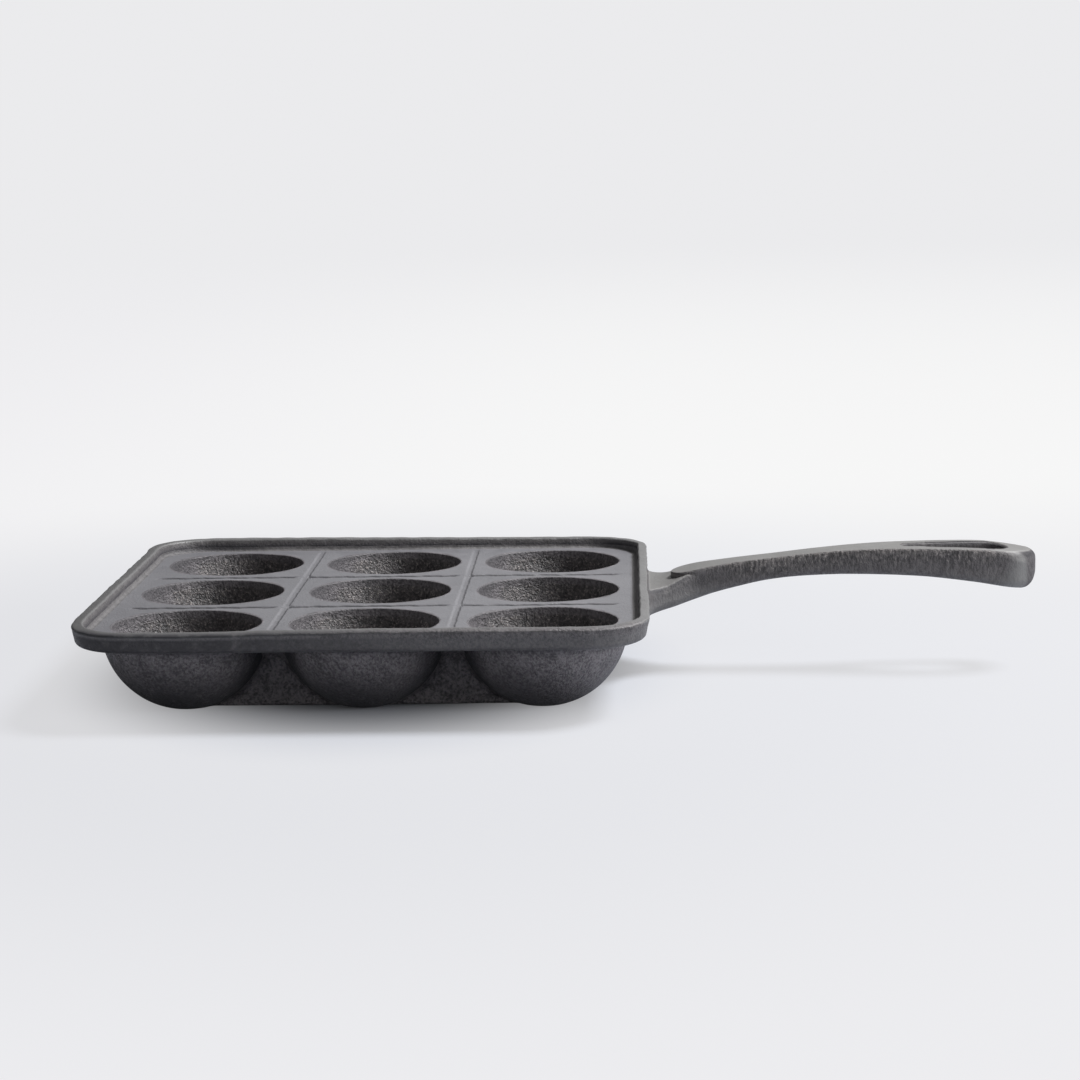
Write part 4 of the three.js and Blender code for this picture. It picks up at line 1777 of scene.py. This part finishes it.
@dataclass(frozen=True)
class SoftBox:
    """A square lamp that faces the pan."""

    name: str
    place: tuple
    watts: float
    size: float
    target: tuple = (0.0, 0.0, 0.0)

    def build(self) -> None:
        """Builds the lamp."""
        lamp = bpy.data.lights.new(self.name, "AREA")
        lamp.energy = self.watts
        lamp.size = self.size
        light = bpy.data.objects.new(self.name, lamp)
        light.location = self.place
        aim = Vector(self.target) - Vector(self.place)
        light.rotation_euler = aim.to_track_quat("-Z", "Y").to_euler()
        bpy.context.scene.collection.objects.link(light)


@dataclass(frozen=True)
class Studio:
    """A pale table with a soft key light from the right, a low front light and a white room."""

    table: tuple = (0.32, 0.34, 0.385, 1.0)
    near_haze: tuple = (0.845, 0.845, 0.866, 1.0)
    far_haze: tuple = (0.925, 0.925, 0.925, 1.0)
    # painted shade: the far table darker on the left, away from the key lamp
    far_haze_shaded_left: tuple = (0.86, 0.855, 0.875, 1.0)
    room: tuple = (0.83, 0.83, 0.845, 1.0)
    table_reach: float = 6.0
    table_roughness: float = 0.9
    open_haze: float = 0.79
    haze_stretch: tuple = (1.3, 0.8)
    inner_haze: tuple = (0.042, 0.11)
    outer_haze: tuple = (0.13, 0.34)
    shaded_left_haze: tuple = (-0.4, 0.1)
    back_haze: tuple = (0.06, 0.4)
    room_haze: tuple = (0.3, 2.5)
    ambient: float = 0.022
    lamps: tuple = (
        SoftBox("key", (0.53, 0.19, 0.78), 16.2, 0.27),
        SoftBox("side", (1.15, -0.5, 0.33), 7.8, 0.45),
        SoftBox("left", (-1.1, -0.4, 0.1), 1.6, 0.18),
        SoftBox("top", (-0.1, 0.25, 1.3), 1.1, 1.4),
        SoftBox("back", (0.1, 1.3, 0.5), 0.95, 0.9),
        SoftBox("front", (-0.2, -1.15, 0.42), 1.5, 0.6, (0.0, -0.05, 0.0)),
    )
    sensor_width: float = 36.0
    lens_length: float = 90.23
    camera_range: tuple = (0.01, 50.0)
    camera_place: tuple = (0.0715, -0.76114, 0.15836)
    camera_turns: tuple = ((1.926, "Z"), (-9.09, "X"), (0.888, "Y"))

    def build(self) -> None:
        """Builds the floor, the lamps, the room and the camera."""
        self.build_floor()
        for lamp in self.lamps:
            lamp.build()
        self.build_world()
        self.build_camera()

    def build_floor(self) -> None:
        """The table top, brightened for the camera as white card is in a light tent."""
        mesh = bpy.data.meshes.new("table_top")
        reach = self.table_reach
        corners = [(-reach, -reach, 0), (reach, -reach, 0), (reach, reach, 0), (-reach, reach, 0)]
        mesh.from_pydata(corners, [], [(0, 1, 2, 3)])
        floor = bpy.data.objects.new("table_top", mesh)
        bpy.context.scene.collection.objects.link(floor)
        shader = Shader("table_card")
        shader.principled.inputs["Base Color"].default_value = self.table
        shader.principled.inputs["Roughness"].default_value = self.table_roughness
        right = shader.node("ShaderNodeSeparateXYZ", {}, (shader.place(),))
        back = right.beside("Y")
        sideways, backwards = self.haze_stretch
        away = (right * right * sideways + back * back * backwards) ** 0.5
        share = away.ramp(*self.inner_haze) * self.open_haze
        share = share + away.ramp(*self.outer_haze) * (1.0 - self.open_haze)
        # Painted shade: the far table turns darker towards the left.
        far = shader.blend(right.ramp(*self.shaded_left_haze), self.far_haze_shaded_left, self.far_haze)
        colour = shader.blend(back.ramp(*self.back_haze), self.near_haze, far)
        colour = shader.blend(back.ramp(*self.room_haze), colour, self.room)
        glow = shader.node("ShaderNodeEmission", {}, {"Color": colour, "Strength": 1.0})
        card = Socket(shader, shader.principled.outputs[0])
        haze = {0: self.seen_ray(shader) * share, 1: card, 2: glow}
        mixed = shader.node("ShaderNodeMixShader", {}, haze)
        shader.feed(shader.tree.nodes["Material Output"].inputs["Surface"], mixed)
        floor.data.materials.append(shader.material)

    @staticmethod
    def seen_ray(nodes: Nodes) -> Socket:
        """1 for rays straight from the camera."""
        return nodes.node("ShaderNodeLightPath", {}, (), "Is Camera Ray")

    def build_world(self) -> None:
        """A white room that the camera sees, with weaker light for the object."""
        world = bpy.data.worlds.new("room")
        world.use_nodes = True
        bpy.context.scene.world = world
        world.node_tree.nodes.clear()
        nodes = Nodes(world.node_tree)
        lighting = nodes.node("ShaderNodeBackground", {}, (self.room, self.ambient))
        seen = nodes.node("ShaderNodeBackground", {}, (self.room,))
        views = {0: self.seen_ray(nodes), 1: lighting, 2: seen}
        mixed = nodes.node("ShaderNodeMixShader", {}, views)
        nodes.node("ShaderNodeOutputWorld", {}, {"Surface": mixed})

    def build_camera(self) -> None:
        """The photograph's camera: its place, turn and lens."""
        lens = bpy.data.cameras.new("camera")
        lens.sensor_width = self.sensor_width
        lens.lens = self.lens_length
        lens.clip_start, lens.clip_end = self.camera_range
        camera = bpy.data.objects.new("camera", lens)
        turn = Matrix.Identity(3)
        for degrees, axis in self.camera_turns:
            turn = turn @ Matrix.Rotation(math.radians(degrees), 3, axis)
        axes = Matrix((turn.col[0], turn.col[2], -turn.col[1])).transposed()
        place = Vector(self.camera_place)
        camera.matrix_world = Matrix.LocRotScale(place, axes.to_quaternion(), None)
        bpy.context.scene.collection.objects.link(camera)
        bpy.context.scene.camera = camera


def main() -> None:
    """Builds the pan's pieces and the studio."""
    logging.basicConfig(level=logging.INFO, format="%(name)s: %(message)s")
    noise.seed_set(SKIN_SEED)
    casting = Casting.from_frame()
    skin = CastSkin()
    cup_iron = CastIron("cup_iron_skin", refraction=1.7, grain_height=1.3 * MM).build()
    field = CupField(casting, skin, cup_iron)
    field.build()
    rim_iron = CastIron(
        "rim_iron_skin",
        smooth_dark=(0.1, 0.099, 0.1, 1.0),
        smooth_light=(0.138, 0.137, 0.138, 1.0),
        smooth_coat=0.12,
        skin_dark=(0.06, 0.055, 0.058, 1.0),
        skin_light=(0.135, 0.126, 0.13, 1.0),
        grain_height=0.7 * MM,
    )
    Rim(casting, skin, rim_iron.build(), field).build()
    WebLattice(casting, skin, cup_iron).build()
    handle_iron = CastIron(
        "handle_iron_skin",
        smooth_dark=(0.125, 0.122, 0.12, 1.0),
        smooth_light=(0.165, 0.162, 0.16, 1.0),
        skin_dark=(0.072, 0.064, 0.065, 1.0),
        skin_light=(0.14, 0.13, 0.13, 1.0),
        coarse_dark=(0.034, 0.03, 0.03, 1.0),
        coarse_light=(0.19, 0.174, 0.167, 1.0),
        smooth_coat=0.12,
        streak=0.5,
        grain_height=0.8 * MM,
    )
    Handle(casting, skin, handle_iron.build()).build()
    Studio().build()
    bpy.context.scene.view_settings.view_transform = "Standard"


if __name__ == "__main__":
    main()
